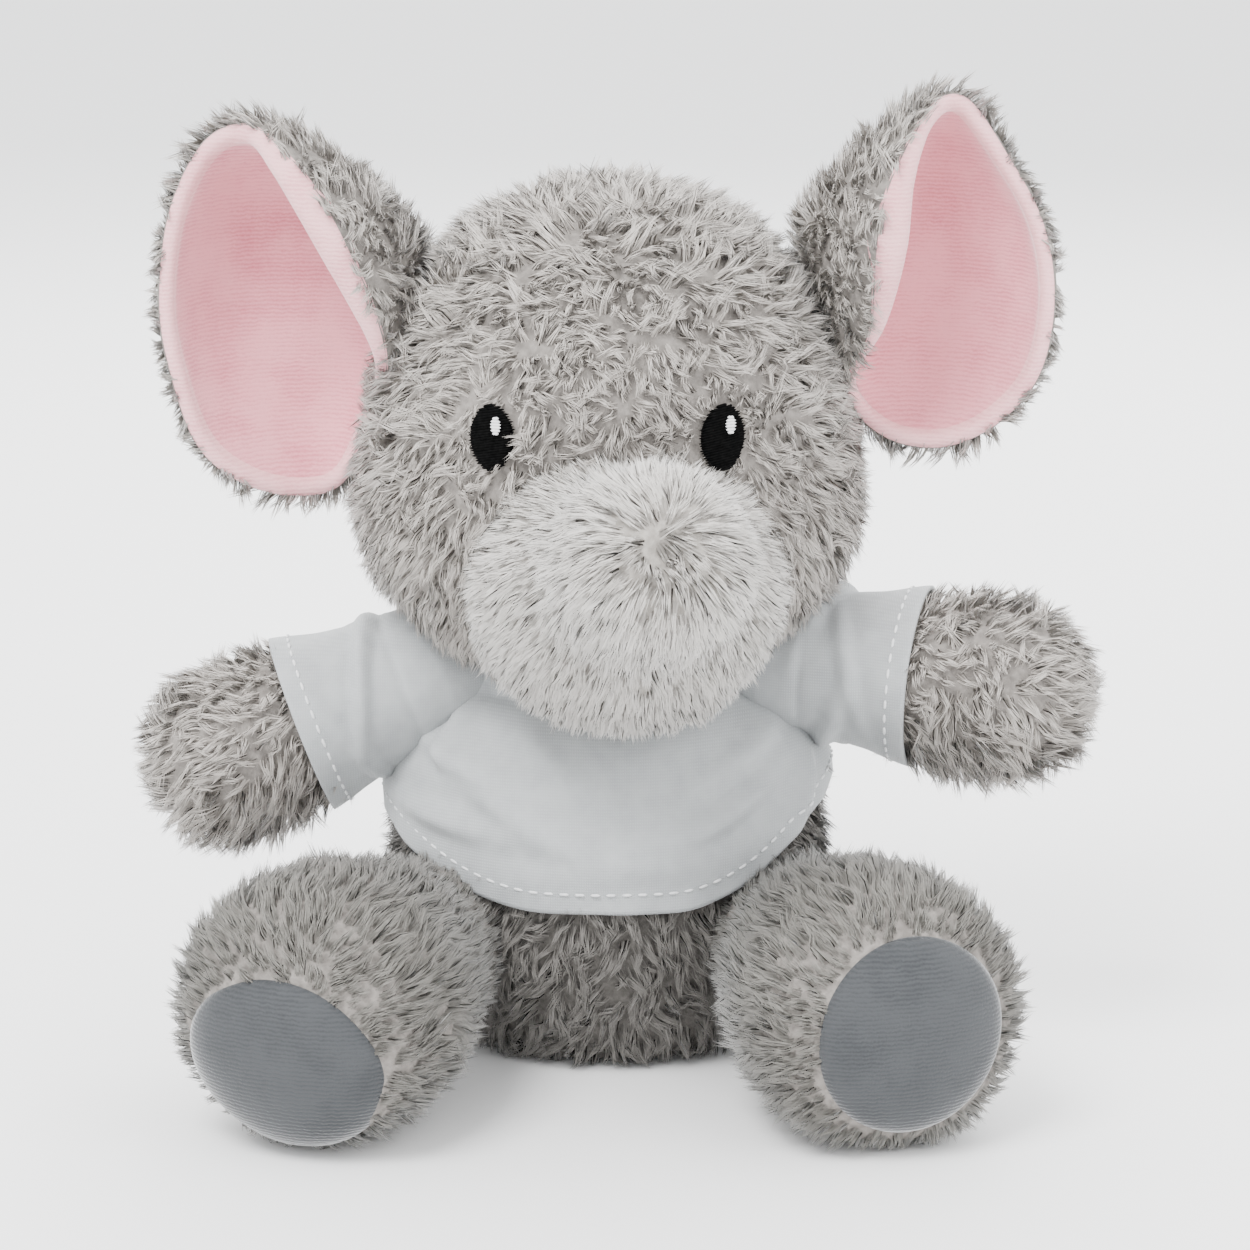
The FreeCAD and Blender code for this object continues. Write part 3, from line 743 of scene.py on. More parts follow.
def shirt_parts():
    rows, columns = 60, 220
    around = np.arange(columns) * 2 * math.pi / columns - math.pi
    share = np.linspace(0, 1, rows)
    low = hem_height(around)
    height = low[None] + (COLLAR_HEIGHT - low[None]) * share[:, None]
    grid = shirt_point(np.broadcast_to(around, height.shape), height)
    wave = waves(grid, 14, 77) * 0.35 * smooth_step(share, 0.25, 0.0)[:, None]
    level = np.array([1, 1, 0])
    grid = grid + unit(grid * level - belly * level) * wave[..., None]
    body = new_object("shirt_body", grid.reshape(-1, 3), grid_faces(rows, columns), JERSEY)
    thicken(body, CLOTH_THICK)
    carry(body, "torso", "jersey_white", "shirt_front", "shirt_back")

    band_low = COLLAR_HEIGHT - 2.6
    band_rows = 8
    heights = np.linspace(band_low, COLLAR_HEIGHT + 0.8, band_rows)[:, None]
    swell = 0.8 * np.sin(np.linspace(0, math.pi, band_rows))[:, None]
    shape = (band_rows, columns)
    band = shirt_point(np.broadcast_to(around, shape), np.broadcast_to(heights, shape), CLOTH_THICK)
    band = band + unit(band * level) * swell[..., None]
    collar = new_object("shirt_collar", band.reshape(-1, 3), grid_faces(band_rows, columns), JERSEY)
    thicken(collar, COLLAR_THICK)
    carry(collar, "torso", "jersey_white", "neckband")

    line = shirt_point(around, low + HEM_DEPTH, STITCH_LIFT)
    stitches = dashes("shirt_hem_stitches", line)
    carry(stitches, "torso", "thread_white", "hem_stitching")


def thicken(thing, thickness):
    solid = thing.modifiers.new("thickness", "SOLIDIFY")
    solid.thickness = thickness * MM
    solid.offset = 0
    graph = bpy.context.evaluated_depsgraph_get()
    graph.update()
    baked = bpy.data.meshes.new_from_object(thing.evaluated_get(graph))
    thing.modifiers.clear()
    thing.data = baked
    baked.polygons.foreach_set("use_smooth", [True] * len(baked.polygons))


THREAD_SIDES = 7


def add_thread(vertices, faces, path, radius, side, rise):
    """Append a round thread with closed ends that follows a path; side and rise span its section."""
    arc = round_angles(THREAD_SIDES)
    ring = path[:, None] + radius[:, None, None] * (
        np.cos(arc)[None, :, None] * side + np.sin(arc)[None, :, None] * rise)
    start = len(vertices)
    vertices.extend(ring.reshape(-1, 3))
    faces.extend(grid_faces(len(path), THREAD_SIDES, offset=start))
    faces.append([start + k for k in range(THREAD_SIDES)][::-1])
    faces.append([start + (len(path) - 1) * THREAD_SIDES + k for k in range(THREAD_SIDES)])


def dashes(name, line):
    """A row of short stitches: small round-ended threads that follow a closed line of points."""
    steps = np.linalg.norm(np.roll(line, -1, axis=0) - line, axis=1)
    run = np.concatenate([[0], np.cumsum(steps)])
    track = np.concatenate([line, line[:1]])
    count = max(int(run[-1] / STITCH_PITCH), 1)
    pitch = run[-1] / count
    vertices, faces = [], []
    rings = 7
    swell = STITCH_RADIUS * np.sqrt(np.clip(1 - np.linspace(-1, 1, rings) ** 4, 0.04, 1))
    for number in range(count):
        places = (number + np.linspace(0, STITCH_FILL, rings)) * pitch
        centre = np.stack([np.interp(places, run, track[:, k]) for k in range(3)], axis=-1)
        heading = unit(centre[-1] - centre[0])
        side = unit(np.cross(heading, UP + 1e-3))
        add_thread(vertices, faces, centre, swell, side, np.cross(side, heading))
    return new_object(name, np.array(vertices), faces, WHITE_THREAD)


# ---------------------------------------------------------------- arms and sleeves

def arm_parts(side, sign):
    pivot = pivot_of("arm_swing_" + side)
    axis = direction_of("arm_stuffing_" + side, pivot)
    reach = reach_of("arm_skin_" + side, pivot, axis)
    paw = 14.6
    stations = [(-9.5, 0), (-7.5, 7), (0, 10.2), (reach * 0.22, 12), (reach * 0.45, 13.6),
                (reach * 0.68, paw),
                (reach * 0.85, 12.6), (reach * 0.955, 7.6), (reach - 0.6, 0)]
    body = "arm_" + side
    skin = limb(pivot, axis, stations, 46, 56, wobble=0.35, seed=50 + int(sign))
    stuffed(skin, "arm_fur_backing_" + side, BACKING, body, "arm_skin_" + side, "arm_stuffing_" + side,
            slot="fur_grey", fill=0.7)

    cuff = reach_of("sleeve_" + side, pivot, axis) - 1.5
    places, normals = skin.scatter(TUFT_SPACING["arm"], 61)
    along = (places - pivot) @ axis
    keep = along > cuff - 4.5
    places, normals, along = places[keep], normals[keep], along[keep]
    flow = axis * 0.55 - UP * 0.35 + direction_field(places, 10, 71 + int(sign)) * 0.95
    length = 5.6 + 1.6 * smooth_step(-normals[:, 2], -0.2, 0.8) - 2.4 * smooth_step(along, cuff + 3, cuff - 4)
    # tufts that face up get lighter tones: painted light from above; the waves are random tone
    fur = plant_fur("arm_fur_" + side, places, normals, flow, length, TONES["grey"], 81 + int(sign),
                    lean=0.62, gather=0.78, curl=0.8,
                    shade=waves(places, 10, 15) * 0.45 + 0.15 * normals[:, 2])
    carry(fur, body, "fur_grey")
    sleeve_parts(side, sign, pivot, axis, stations, cuff)


SLEEVE_ROOT = -19  # where the tube starts inside the shirt, from the shoulder's pivot
SLEEVE_CREASES = [
    # angle, place along the arm, slant, width, lift, in mm
    (2.6, 5, 5.0, 1.9, 1.5),
    (1.4, 1, 3.0, 2.2, 1.3),
    (3.9, 9, -4.0, 1.8, 1.1),
    (5.2, 3, 4.0, 2.2, 1.6),
    (0.3, 7, -4.0, 2.0, 1.0),
]


def sleeve_parts(side, sign, pivot, axis, stations, cuff):
    """A tube from inside the armhole to the cuff."""
    stations = np.array(stations)
    rows, columns = 56, 120
    along = np.linspace(SLEEVE_ROOT, cuff, rows)
    radius = np.maximum(np.interp(along, stations[:, 0], stations[:, 1]),
                        np.interp(along, [SLEEVE_ROOT, -15, -9, -2, 2], [2, 6.5, 9, 10, 0]))
    flare = smooth_step(along, cuff - 9, cuff)
    root = smooth_step(along, 10, -6)
    radius = radius + 2.0 + 0.9 * flare + 1.2 * root
    side_way = unit(np.cross(axis, UP))
    rise = np.cross(side_way, axis)
    a, r = np.meshgrid(round_angles(columns), along, indexing="xy")
    crease = np.zeros_like(a)
    for at, place, slant, wide, lift in SLEEVE_CREASES:
        gap = (a - at + math.pi) % (2 * math.pi) - math.pi
        off = r - place - slant * gap
        crease += lift * np.exp(-((gap / 1.0) ** 2)) * np.exp(-((off / wide) ** 2)) * (1 - (off / wide) ** 2)
    total = radius[:, None] + crease + 0.25 * np.sin(3 * a + sign)
    grid = pivot + r[..., None] * axis + total[..., None] * (
        np.cos(a)[..., None] * side_way + np.sin(a)[..., None] * rise)
    sleeve = new_object("shirt_sleeve_" + side, grid.reshape(-1, 3), grid_faces(rows, columns), JERSEY)
    thicken(sleeve, CLOTH_THICK)
    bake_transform(sleeve)
    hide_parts("sleeve_" + side)
    ring = int(np.argmin(np.abs(along - (cuff - HEM_DEPTH))))
    line = grid[ring] + unit(grid[ring] - (pivot + axis * along[ring])) * STITCH_LIFT
    stitches = dashes("shirt_cuff_stitches_" + side, line)
    carry(stitches, "arm_" + side, "thread_white", "cuff_stitching_" + side)


# ---------------------------------------------------------------- legs and foot pads

LEG_ROOT, SOLE_POWER, SOLE_DOME = 14.5, 2.35, 14.0
PAD_HALF = {"right": np.array([18.0, 15.6]), "left": np.array([16.6, 17.2])}
PAD_OUT, PAD_IN = 1.9, -1.5  # the pad's middle and its back, from the sole


def leg_parts(side, sign):
    pivot = pivot_of("leg_swing_" + side)
    axis = direction_of("leg_stuffing_" + side, pivot, level=True)
    reach = reach_of("leg_skin_" + side, pivot, axis)
    foot = box_of("leg_skin_" + side)[1][2]
    shoulder = reach - SOLE_DOME
    stations = [(-LEG_ROOT, 0), (-10.5, 9.5), (0, LEG_ROOT), (shoulder * 0.3, 16.5),
                (shoulder * 0.6, foot - 2.6), (shoulder * 0.85, foot - 0.8), (shoulder, foot - 0.9)]
    for share in (0.45, 0.7, 0.86, 0.955, 1.0):
        radius = (foot - 0.4) * (1 - share**SOLE_POWER) ** (1 / SOLE_POWER)
        stations.append((shoulder + SOLE_DOME * share, radius))
    body = "leg_" + side
    skin = limb(pivot, axis, stations, 70, 72, flat_floor=UNDER, wobble=0.4, seed=90 + int(sign))
    stuffed(skin, "leg_fur_backing_" + side, BACKING, body, "leg_skin_" + side, "leg_stuffing_" + side,
            slot="fur_grey", fill=0.8)

    middle, _ = box_of("foot_pad_" + side)
    aside = unit(np.cross(axis, UP))
    pad_middle = np.array([(middle - pivot) @ aside, middle[2] - pivot[2]])
    pad_size = PAD_HALF[side]
    pad_middle[1] = -foot + pad_size[1] + 1.4 if side == "right" else pad_middle[1] - 0.5

    def sole_at(across, high, out):
        """A point on the domed sole, from its place across the foot."""
        far = np.minimum(np.hypot(across, high) / (foot - 0.4), 0.995)
        bulge = SOLE_DOME * (1 - far**SOLE_POWER) ** (1 / SOLE_POWER)
        base = pivot + axis * (shoulder + bulge + out)[..., None]
        return base + aside * across[..., None] + UP * high[..., None]

    rings, columns = 22, 96
    share = np.linspace(0, 1, rings)[1:, None]
    around = round_angles(columns)[None]
    across = pad_middle[0] + pad_size[0] * share * np.cos(around)
    high = pad_middle[1] + pad_size[1] * share * np.sin(around)
    edge = np.sqrt(np.clip(1 - share**6, 0, 1)) + 0 * around
    lift = 0.4 + 1.5 * edge + 0.25 * np.sin(around * 3 + 1) * share
    front = sole_at(across, high, lift)
    front[..., 2] = np.maximum(front[..., 2], 0.4)
    behind = sole_at(across[-1:], high[-1:], PAD_IN + 0 * around)
    behind[..., 2] = np.maximum(behind[..., 2], 0.4)
    centre, inner = (sole_at(pad_middle[:1], pad_middle[1:], np.array([out]))[0] for out in (PAD_OUT, PAD_IN))
    pad = Skin.closed(np.concatenate([front, behind]), centre, inner)
    stuffed(pad, "foot_pad_velour_" + side, BLUE_GREY, body, "foot_pad_" + side, slot="velour_blue_grey",
            fill=0.5)

    places, normals = skin.scatter(TUFT_SPACING["leg"], 101)
    along = (places - pivot) @ axis
    flat = np.stack([(places - pivot) @ aside, places[:, 2] - pivot[2]], axis=-1)
    to_pad = np.linalg.norm((flat - pad_middle) / pad_size, axis=1)
    on_sole = along > shoulder + 1
    keep = ~(on_sole & (to_pad < 0.97)) & (normals[:, 2] > -0.96)
    places, normals, along, flat = places[keep], normals[keep], along[keep], flat[keep]
    to_pad, on_sole = to_pad[keep], on_sole[keep]
    outward = flat - pad_middle
    radial = unit(aside[None] * outward[:, :1] + UP[None] * outward[:, 1:])
    back = smooth_step(along, reach * 0.45, shoulder + 4)[:, None]
    flow = (-axis * 0.75 + UP * 0.15) * (1 - back) + (radial * 0.9 - axis * 0.55) * back
    flow = flow + direction_field(places, 11, 111 + int(sign)) * 0.5
    length = 5.6 - 1.6 * smooth_step(to_pad, 1.35, 1.0) * on_sole - 2.2 * smooth_step(along, 26, 10)
    # the leg tones are the grey pile darkened as painted shade
    fur = plant_fur("leg_fur_" + side, places, normals, flow, length, TONES["leg"], 121 + int(sign),
                    lean=0.72, gather=0.66, curl=0.5, shade=waves(places, 12, 25) * 0.3)
    carry(fur, body, "fur_grey")


# ---------------------------------------------------------------- head, eyes

EYE_HALF = np.array([3.9, 5.4])
EYE_TILT = math.radians(12)
EYE_PITCH, EYE_THREAD, EYE_LIFT = 0.42, 0.27, 1.25  # between rows, thread radius, height on the backing
GLINT_HALF = (0.85, 1.45)
EYE_CLEAR = 1.12  # no fur grows within this many eye sizes of an eye's middle
TUFT_SIDE = np.array([0.82, -0.57])
MUZZLE_CLEAR = 23


def head_parts():
    skin = head_skin()
    stuffed(skin, "head_fur_backing", BACKING, "head", "head_skin", "head_stuffing",
            slot="fur_grey", fill=0.8)
    tree = skin.tree()
    eye_middles = {side: box_of("eye_" + side)[0] for side, _ in SIDES}
    for side, middle in eye_middles.items():
        eye_parts(tree, side, middle)

    places, normals = skin.scatter(TUFT_SPACING["head"], 131)
    muzzle = pivot_of("trunk_bend")
    to_muzzle = np.linalg.norm(places - muzzle, axis=1)
    low = places[:, 2] < HEAD_MIDDLE[2] - HEAD_HALF[2] + 1.5
    keep = (to_muzzle > MUZZLE_CLEAR) & ~(low & (np.hypot(places[:, 0], places[:, 1] - 4) < 15))
    length = 5.2 + 1.2 * smooth_step(places[:, 2], skull[2] + 15, skull[2] + 40)
    front = places[:, 1] < 0
    for side, middle in eye_middles.items():
        off = (places[:, [0, 2]] - middle[[0, 2]]) / EYE_HALF
        far = np.linalg.norm(off, axis=1)
        tufts = 0.0
        if side == "right":  # a few long tufts hang over the lower inner part of this eye
            tufts = smooth_step(off @ TUFT_SIDE, 0.3, 0.7) * (far < 1.9)
        keep &= ~(front & (far + 0.75 * tufts < EYE_CLEAR))
        length -= (2.6 * (1 - tufts) - 1.2 * tufts) * front * smooth_step(far, 2.2, 1.1)
    places, normals, length = places[keep], normals[keep], length[keep]
    crown = skull + UP * skull_half[2] + np.array([3, -22, 0])
    away = unit(places - crown)
    drift = smooth_step(places[:, 2], skull[2] + 12, skull[2] - 25)[:, None]
    flow = away * 0.5 - UP * 0.7 * drift + direction_field(places, 8, 141) * (1.25 - 0.45 * drift)
    # tufts that face up get lighter tones: painted light from above; the waves are random tone
    shade = waves(places, 9, 151) * 0.5 + 0.12 * normals[:, 2]
    order = np.argsort(places[:, 1], kind="stable")
    names = ("head_fur_front", "head_fur_middle", "head_fur_back")
    for number, part in enumerate(np.array_split(order, len(names))):
        fur = plant_fur(names[number], places[part], normals[part], flow[part], length[part], TONES["grey"],
                        161 + number, fibres=14, spread=0.95, lean=0.62, gather=0.72, curl=0.95,
                        shade=shade[part])
        carry(fur, "head", "fur_grey")


def eye_parts(tree, side, middle):
    """Satin stitch: close rows of thread laid across an oval, with a few white ones as the glint."""

    def on_head(x, z, out):
        hit, normal, _, _ = tree.ray_cast(Vector((middle[0] + x, -200, middle[2] + z)), Vector((0, 1, 0)))
        return np.array(hit) + np.array(normal) * out

    def stitched(name, paths, mat, slot, base=None):
        """Threads along the paths, on a flat oval base if there is one."""
        vertices, faces = [], []
        for path in paths:
            heading = unit(np.gradient(path, axis=0))
            out = unit(np.cross(heading, UP))
            out = out * np.sign(-out[:, 1:2])
            taper = np.sqrt(np.clip(1 - np.linspace(-1, 1, len(path)) ** 6, 0.05, 1)) * EYE_THREAD
            add_thread(vertices, faces, path, taper, out[:, None], np.cross(heading, out)[:, None])
        if base:
            start, ring = len(vertices), len(base) // 2
            vertices.extend(base)
            faces.extend(grid_faces(2, ring, offset=start))
            inner = start + ring
            faces.extend([[inner + k, inner + (k + 1) % ring, inner + ring] for k in range(ring)])
        made = new_object(name + "embroidery_" + side, np.array(vertices), faces, mat)
        carry(made, "head", slot, name + side)

    black, white = [], []
    rows = int(2 * EYE_HALF[1] / EYE_PITCH)
    for row in range(rows):
        v = (row + 0.5) / rows * 2 - 1
        half = EYE_HALF[0] * math.sqrt(max(1 - v * v, 0.02)) + 0.18 * math.sin(row * 2.3)
        path = []
        for u in np.linspace(-1, 1, 13):
            x, z = half * u, EYE_HALF[1] * v
            x, z = x * math.cos(EYE_TILT) - z * math.sin(EYE_TILT) * 0.3, z + x * math.sin(EYE_TILT)
            path.append(on_head(x, z, EYE_LIFT + 0.55 * math.sqrt(max(1 - u * u, 0))))
        black.append(np.array(path))
    rows = 6
    for row in range(rows):
        v = (row + 0.5) / rows * 2 - 1
        half = GLINT_HALF[0] * math.sqrt(max(1 - v * v, 0.05))
        path = [on_head(1.0 + half * u, 2.0 + GLINT_HALF[1] * v, 2.15) for u in np.linspace(-1, 1, 6)]
        white.append(np.array(path))
    oval = EYE_HALF * 0.93
    base = [on_head(oval[0] * math.cos(a) * share, oval[1] * math.sin(a) * share, EYE_LIFT)
            for share in (1.0, 0.5) for a in round_angles(24)]
    base.append(on_head(0, 0, 1.3))
    stitched("eye_", black, BLACK_THREAD, "thread_black", base)
    stitched("eye_glint_", white, WHITE_THREAD, "thread_white")


# ---------------------------------------------------------------- trunk

TRUNK_ROOT, TRUNK_WIDE = 24.0, 1.08


def trunk_parts():
    pivot = pivot_of("trunk_bend")
    points = points_of("trunk_skin")
    far = np.linalg.norm(points - pivot, axis=1)
    reach = far.max()
    axis = unit(points[np.argmax(far)] - pivot)
    root = TRUNK_ROOT
    stations = [(-root, 0), (-root * 0.75, root * 0.66), (-root * 0.2, root * 0.98), (root * 0.25, root),
                (reach * 0.33, root * 0.88), (reach * 0.46, root * 0.70), (reach * 0.62, root * 0.60),
                (reach * 0.80, root * 0.56), (reach * 0.93, root * 0.43), (reach * 0.99, root * 0.20),
                (reach * 0.94, 0)]
    skin = limb(pivot, axis, stations, 64, 72, wobble=0.3, seed=33, wide=TRUNK_WIDE)
    stuffed(skin, "trunk_fur_backing", BACKING_PALE, "trunk", "trunk_skin", "trunk_stuffing",
            slot="fur_pale", fill=0.8)
    places, normals = skin.scatter(TUFT_SPACING["trunk"], 171)
    along = (places - pivot) @ axis
    keep = along > -3
    places, normals, along = places[keep], normals[keep], along[keep]
    tip = pivot + axis * reach
    away = unit(places - tip)
    flow = away * 0.9 - UP * 0.55 + direction_field(places, 14, 181) * 0.28
    length = 4.6 + 1.0 * smooth_step(along, reach * 0.5, reach)
    # pinch darkens the fur in the dimple at the trunk's tip and crease darkens it in the crease between
    # muzzle and trunk: painted shade
    pinch = np.exp(-((np.linalg.norm(places - tip - axis * 2, axis=1) / 8.5) ** 2))
    crease = np.exp(-(((along / reach - 0.42) / 0.09) ** 2))
    fur = plant_fur("trunk_fur", places, normals, flow, length, TONES["pale"], 191, lean=0.85,
                    bend=0.45, gather=0.4, curl=0.3, spread=1.0, width=0.30,
                    shade=waves(places, 9, 35) * 0.6 - 2.6 * pinch - 0.8 * crease)
    carry(fur, "trunk", "fur_pale")


# ---------------------------------------------------------------- ears

# Rim of each ear, in halves of its CAD box: outwards, to the back, up. It starts at the root and
# climbs the folded front edge, passes the top, comes down the outer edge and returns underneath.
EAR_RIMS = {
    "right": [(-0.89, -1.00, -0.16), (-0.53, -1.18, 0.33), (-0.17, -1.00, 0.70), (0.14, -0.60, 0.87),
              (0.51, -0.43, 0.80), (0.80, -0.48, 0.47), (0.90, -0.58, 0.03), (0.83, -0.62, -0.32),
              (0.63, -0.58, -0.70), (0.31, -0.43, -0.90), (-0.09, -0.21, -0.99), (-0.45, -0.07, -0.95),
              (-0.69, -0.07, -0.70), (-0.86, -0.45, -0.46)],
    "left": [(-0.58, -1.00, -0.20), (-0.46, -1.15, 0.19), (-0.38, -1.00, 0.54), (-0.16, -0.65, 0.83),
             (0.15, -0.40, 0.90), (0.50, -0.40, 0.62), (0.79, -0.45, 0.29), (0.89, -0.52, -0.08),
             (0.79, -0.55, -0.45), (0.50, -0.45, -0.70), (0.10, -0.30, -0.84), (-0.30, -0.15, -0.83),
             (-0.60, -0.10, -0.70), (-0.74, -0.50, -0.49)],
}
EAR_BOTTOM = (-0.25, 0.70, 0.06)
EAR_THICK = 3.0
FLAP_AT, FLAP_WIDE, FLAP_FOLD = 1.2, 1.7, 12.5  # where the front edge folds over, how long, how deep
OUTER_EDGE = (4.2, 9.4)  # the rim's outer edge, from and to, counted in rim points


def ear_parts(side, sign):
    middle, half = box_of("ear_back_" + side)
    stretch = half * np.array([sign, 1, 1])
    columns, rows = 150, 26
    rim = middle + closed_spline(EAR_RIMS[side], columns) * stretch
    bottom = middle + np.array(EAR_BOTTOM) * stretch
    around = np.arange(columns) / columns * len(EAR_RIMS[side])
    to_flap = np.minimum(np.abs(around - FLAP_AT), np.abs(around - FLAP_AT - len(EAR_RIMS[side])))
    flap = np.exp(-((to_flap / FLAP_WIDE) ** 2))
    share = np.linspace(0, 1, rows)[:-1]
    t = share[:, None, None]
    sheet = rim[None] * (1 - t) + bottom * t
    depth = 1 - (1 - t[..., 0]) ** 2.3
    sheet[..., 1] = rim[None, :, 1] * (1 - depth) + bottom[1] * depth
    swell = 4 * t[..., 0] ** 0.75 * (1 - t[..., 0])
    sheet[..., 0] -= sign * FLAP_FOLD * flap[None] * swell
    out = unit(rim - rim.mean(axis=0))
    sheet += out[None] * (2.5 * (1 - flap)[None] * swell)[..., None]
    sheet[..., 1] += waves(sheet, 26, 200 + int(sign)) * 0.8 * swell

    down = np.gradient(sheet, axis=0)
    along = np.roll(sheet, -1, axis=1) - np.roll(sheet, 1, axis=1)
    normal = unit(np.cross(down, along))
    normal *= np.sign(-(normal[..., 1:2]).mean())
    edge = unit(sheet[0] - sheet[1])
    hem = np.exp(-((share / 0.16) ** 2))[:, None]
    thick = EAR_THICK / 2 * (1 + 1.25 * flap[None] * hem) * (1 - 0.25 * share[:, None])
    inner = sheet + normal * thick[..., None]
    outer = sheet - normal * thick[..., None]
    arc = np.linspace(0, math.pi, 11)[1:-1]
    roll = [sheet[0] + (normal[0] * math.cos(a) + edge * math.sin(a) * 1.15) * thick[0][:, None] for a in arc]
    profile = np.array([*inner[::-1], *roll, *outer])
    seam = rows - 1 + 6.0 + 3.4 * flap**2
    lining_rows, lining_at = profile_between(profile, np.zeros(columns), seam, 40)
    back_rows, _ = profile_between(profile, seam - 0.4, np.full(columns, len(profile) - 1.0), 30)
    to_pole = unit(normal[-1].mean(axis=0)) * EAR_THICK * 0.38
    lining = open_cup(lining_rows, bottom + to_pole, first=True)
    backing = open_cup(back_rows, bottom - to_pole, first=False)
    body = "ear_" + side
    made = new_object("ear_lining_velour_" + side, *lining, PINK)
    made.data.materials.append(PINK_RIM_HIGHLIGHT)
    # the lining's rolled rim gets the paler pink: painted highlight
    pale = (lining_at[:-1] > len(inner) - 2.0).reshape(-1)
    for face in made.data.polygons:
        face.material_index = int(face.index < len(pale) and pale[face.index])
    facing_out(made)
    carry(made, body, "velour_pink", "ear_lining_" + side)
    back = new_object("ear_fur_backing_" + side, *backing, BACKING)
    carry(back, body, "fur_grey", "ear_back_" + side)

    skin = Skin(*backing)
    skin.turn_to_back()
    places, normals = skin.scatter(TUFT_SPACING["ear"], 211)
    nearest = ((places[:, None, [0, 2]] - rim[None, :, [0, 2]]) ** 2).sum(-1)
    to_rim, at = np.sqrt(nearest.min(axis=1)), around[nearest.argmin(axis=1)]
    first, last = OUTER_EDGE
    outer_edge = smooth_step(at, first, first + 1) * smooth_step(at, last, last - 1)
    keep = to_rim > 0.5 * outer_edge
    places, normals = places[keep], normals[keep]
    outer_edge, to_rim = outer_edge[keep], to_rim[keep]
    length = 5.4 - 1.9 * outer_edge * smooth_step(to_rim, 7, 1)
    away = unit(places - (middle + np.array([-0.9, 0.3, 0]) * stretch))
    flow = away * 0.8 + direction_field(places, 10, 221 + int(sign)) * 0.75
    fur = plant_fur("ear_fur_" + side, places, normals, flow, length, TONES["grey"], 231 + int(sign),
                    fibres=14, lean=0.7, gather=0.75, curl=0.8, shade=waves(places, 10, 45) * 0.4 + 0.15)
    carry(fur, body, "fur_grey")


def profile_between(profile, start, end, rows):
    """Each column's stretch of the profile between two fractional rows, evenly divided; and the rows."""
    share = np.linspace(0, 1, rows)[:, None]
    at = start[None] * (1 - share) + end[None] * share
    low = np.clip(np.floor(at).astype(int), 0, len(profile) - 2)
    part = (at - low)[..., None]
    columns = np.arange(profile.shape[1])[None]
    return profile[low, columns] * (1 - part) + profile[low + 1, columns] * part, at


def open_cup(rings, pole, first):
    """Rings closed by a pole at one end, the first or the last."""
    rows, columns, _ = rings.shape
    points = np.concatenate([rings.reshape(-1, 3), [pole]])
    faces = grid_faces(rows, columns)
    end = rows * columns
    ring = 0 if first else (rows - 1) * columns
    for c in range(columns):
        after = (c + 1) % columns
        faces.append([end, ring + after, ring + c] if first else [ring + c, ring + after, end])
    return points, faces


def facing_out(made):
    """Turn the lining's faces so that they look out of the cup."""
    made.data.update()
    if sum(p.normal.y * p.area for p in made.data.polygons) > 0:
        made.data.flip_normals()


# ---------------------------------------------------------------- tail

def tail_parts():
    pivot = pivot_of("tail_swing")
    axis = direction_of("tail", pivot)
    reach = reach_of("tail", pivot, axis)
    stations = [(-4, 0), (-2.5, 2.2), (2, 2.3), (reach * 0.5, 2.1), (reach * 0.8, 2.6),
                (reach * 0.94, 1.7), (reach - 0.3, 0)]
    skin = limb(pivot, axis, stations, 26, 24)
    stuffed(skin, "tail_fur_backing", BACKING, "tail", "tail", slot="fur_grey", fill=0.5)
    places, normals = skin.scatter(TUFT_SPACING["tail"], 241)
    along = (places - pivot) @ axis
    length = 2.8 + 3.2 * smooth_step(along, reach * 0.55, reach)
    flow = axis + direction_field(places, 8, 251) * 0.4
    fur = plant_fur("tail_fur", places, normals, flow, length, TONES["grey"], 261, lean=0.9, gather=0.6,
                    curl=0.5)
    carry(fur, "tail", "fur_grey")


# ---------------------------------------------------------------- stage, light and camera

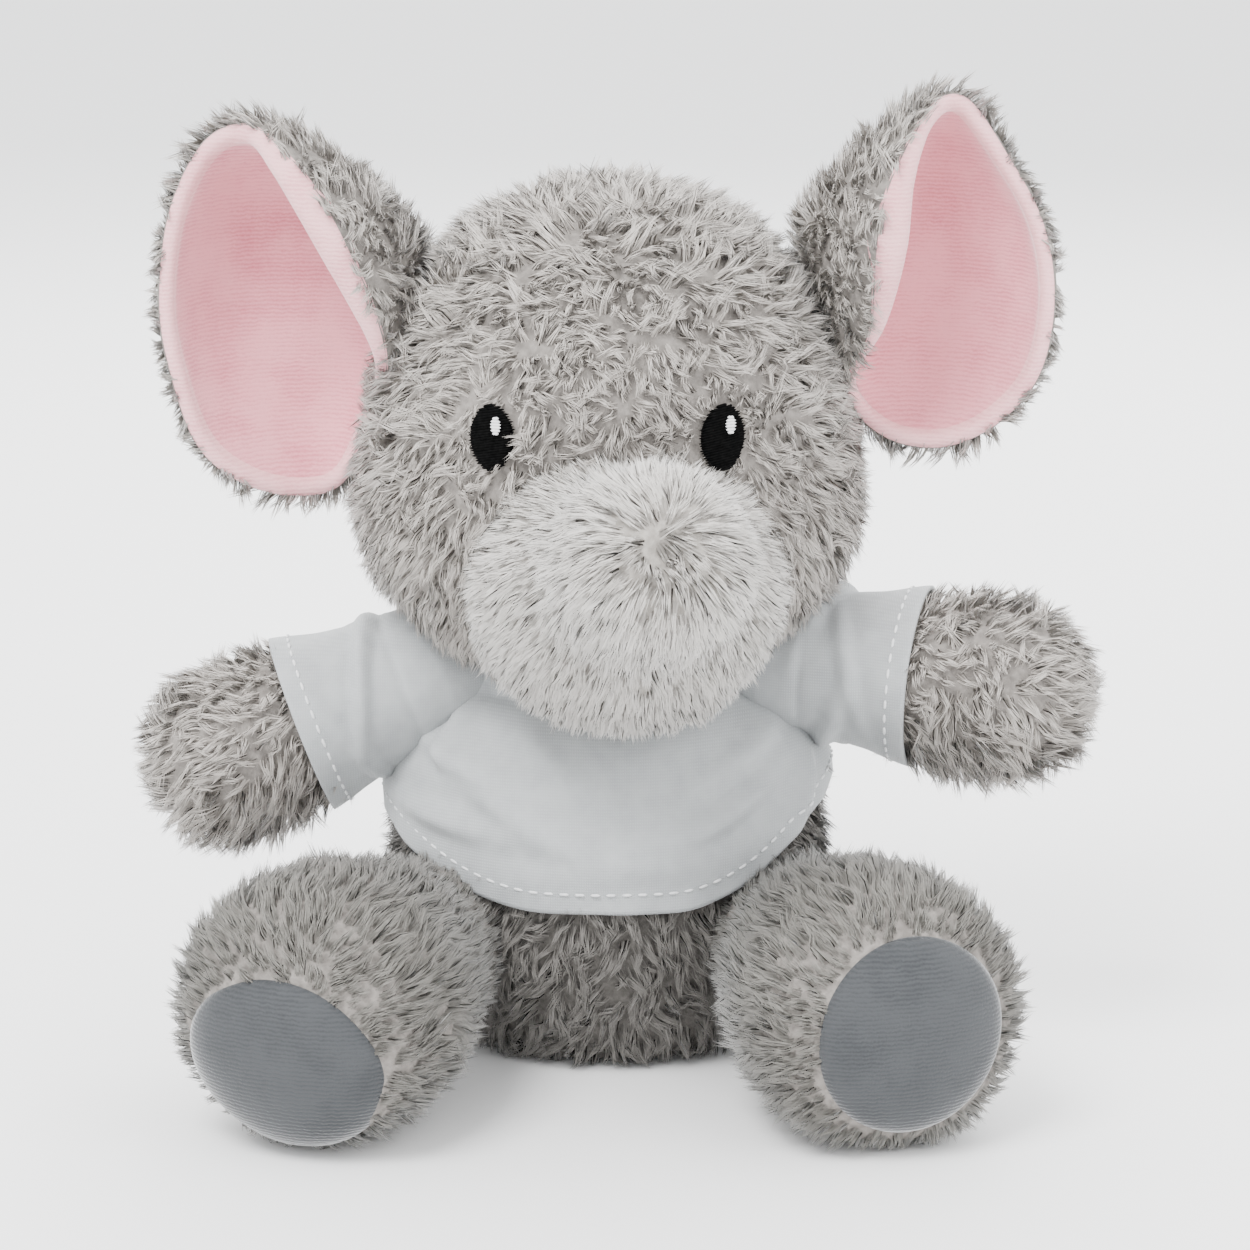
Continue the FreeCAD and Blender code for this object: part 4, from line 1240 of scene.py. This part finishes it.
FLOOR_HALF = 6.0
LAMP_AIM = Vector((0, 0, 0.09))
LAMPS = (
    # name, place in metres, watts, size in metres
    ("key_light", (-0.35, -0.55, 0.95), 17.0, 0.45),
    ("fill_light", (0.75, -0.6, 0.45), 4.0, 0.6),
    ("back_light", (0.1, 0.8, 0.75), 13.0, 0.6),
)


def stage():
    mesh = bpy.data.meshes.new("floor")
    corners = ((-1, -1), (1, -1), (1, 1), (-1, 1))
    mesh.from_pydata([(x * FLOOR_HALF, y * FLOOR_HALF, 0) for x, y in corners], [], [(0, 1, 2, 3)])
    mat, shader = material("pale_floor", 0.7)
    shader.inputs["Base Color"].default_value = (0.88, 0.88, 0.88, 1)
    mesh.materials.append(mat)
    in_scene("floor", mesh)

    world = bpy.data.worlds.new("studio")
    bpy.context.scene.world = world
    world.use_nodes = True
    background = world.node_tree.nodes["Background"]
    background.inputs["Color"].default_value = (0.98, 0.99, 1.0, 1)
    background.inputs["Strength"].default_value = 2.6

    for name, place, watts, size in LAMPS:
        light = bpy.data.lights.new(name, "AREA")
        light.energy, light.size = watts, size
        lamp = in_scene(name, light)
        lamp.location = place
        lamp.rotation_euler = (LAMP_AIM - Vector(place)).to_track_quat("-Z", "Y").to_euler()


CAMERA_AIM = Vector((3.0, 0.0, 76.5)) * MM
CAMERA_AWAY, CAMERA_RISE, CAMERA_LENS = 0.75, math.radians(13), 120.1


def camera():
    data = bpy.data.cameras.new("camera")
    data.lens, data.sensor_width = CAMERA_LENS, 36
    data.clip_start, data.clip_end = 0.05, 20
    thing = in_scene("camera", data)
    back = Vector((0, -math.cos(CAMERA_RISE), math.sin(CAMERA_RISE)))
    thing.location = CAMERA_AIM + back * CAMERA_AWAY
    thing.rotation_euler = (-back).to_track_quat("-Z", "Y").to_euler()
    bpy.context.scene.camera = thing


# ---------------------------------------------------------------- the whole toy

camera()
stage()
torso_parts()
shirt_parts()
head_parts()
trunk_parts()
for side, sign in SIDES:
    arm_parts(side, sign)
    leg_parts(side, sign)
    ear_parts(side, sign)
tail_parts()
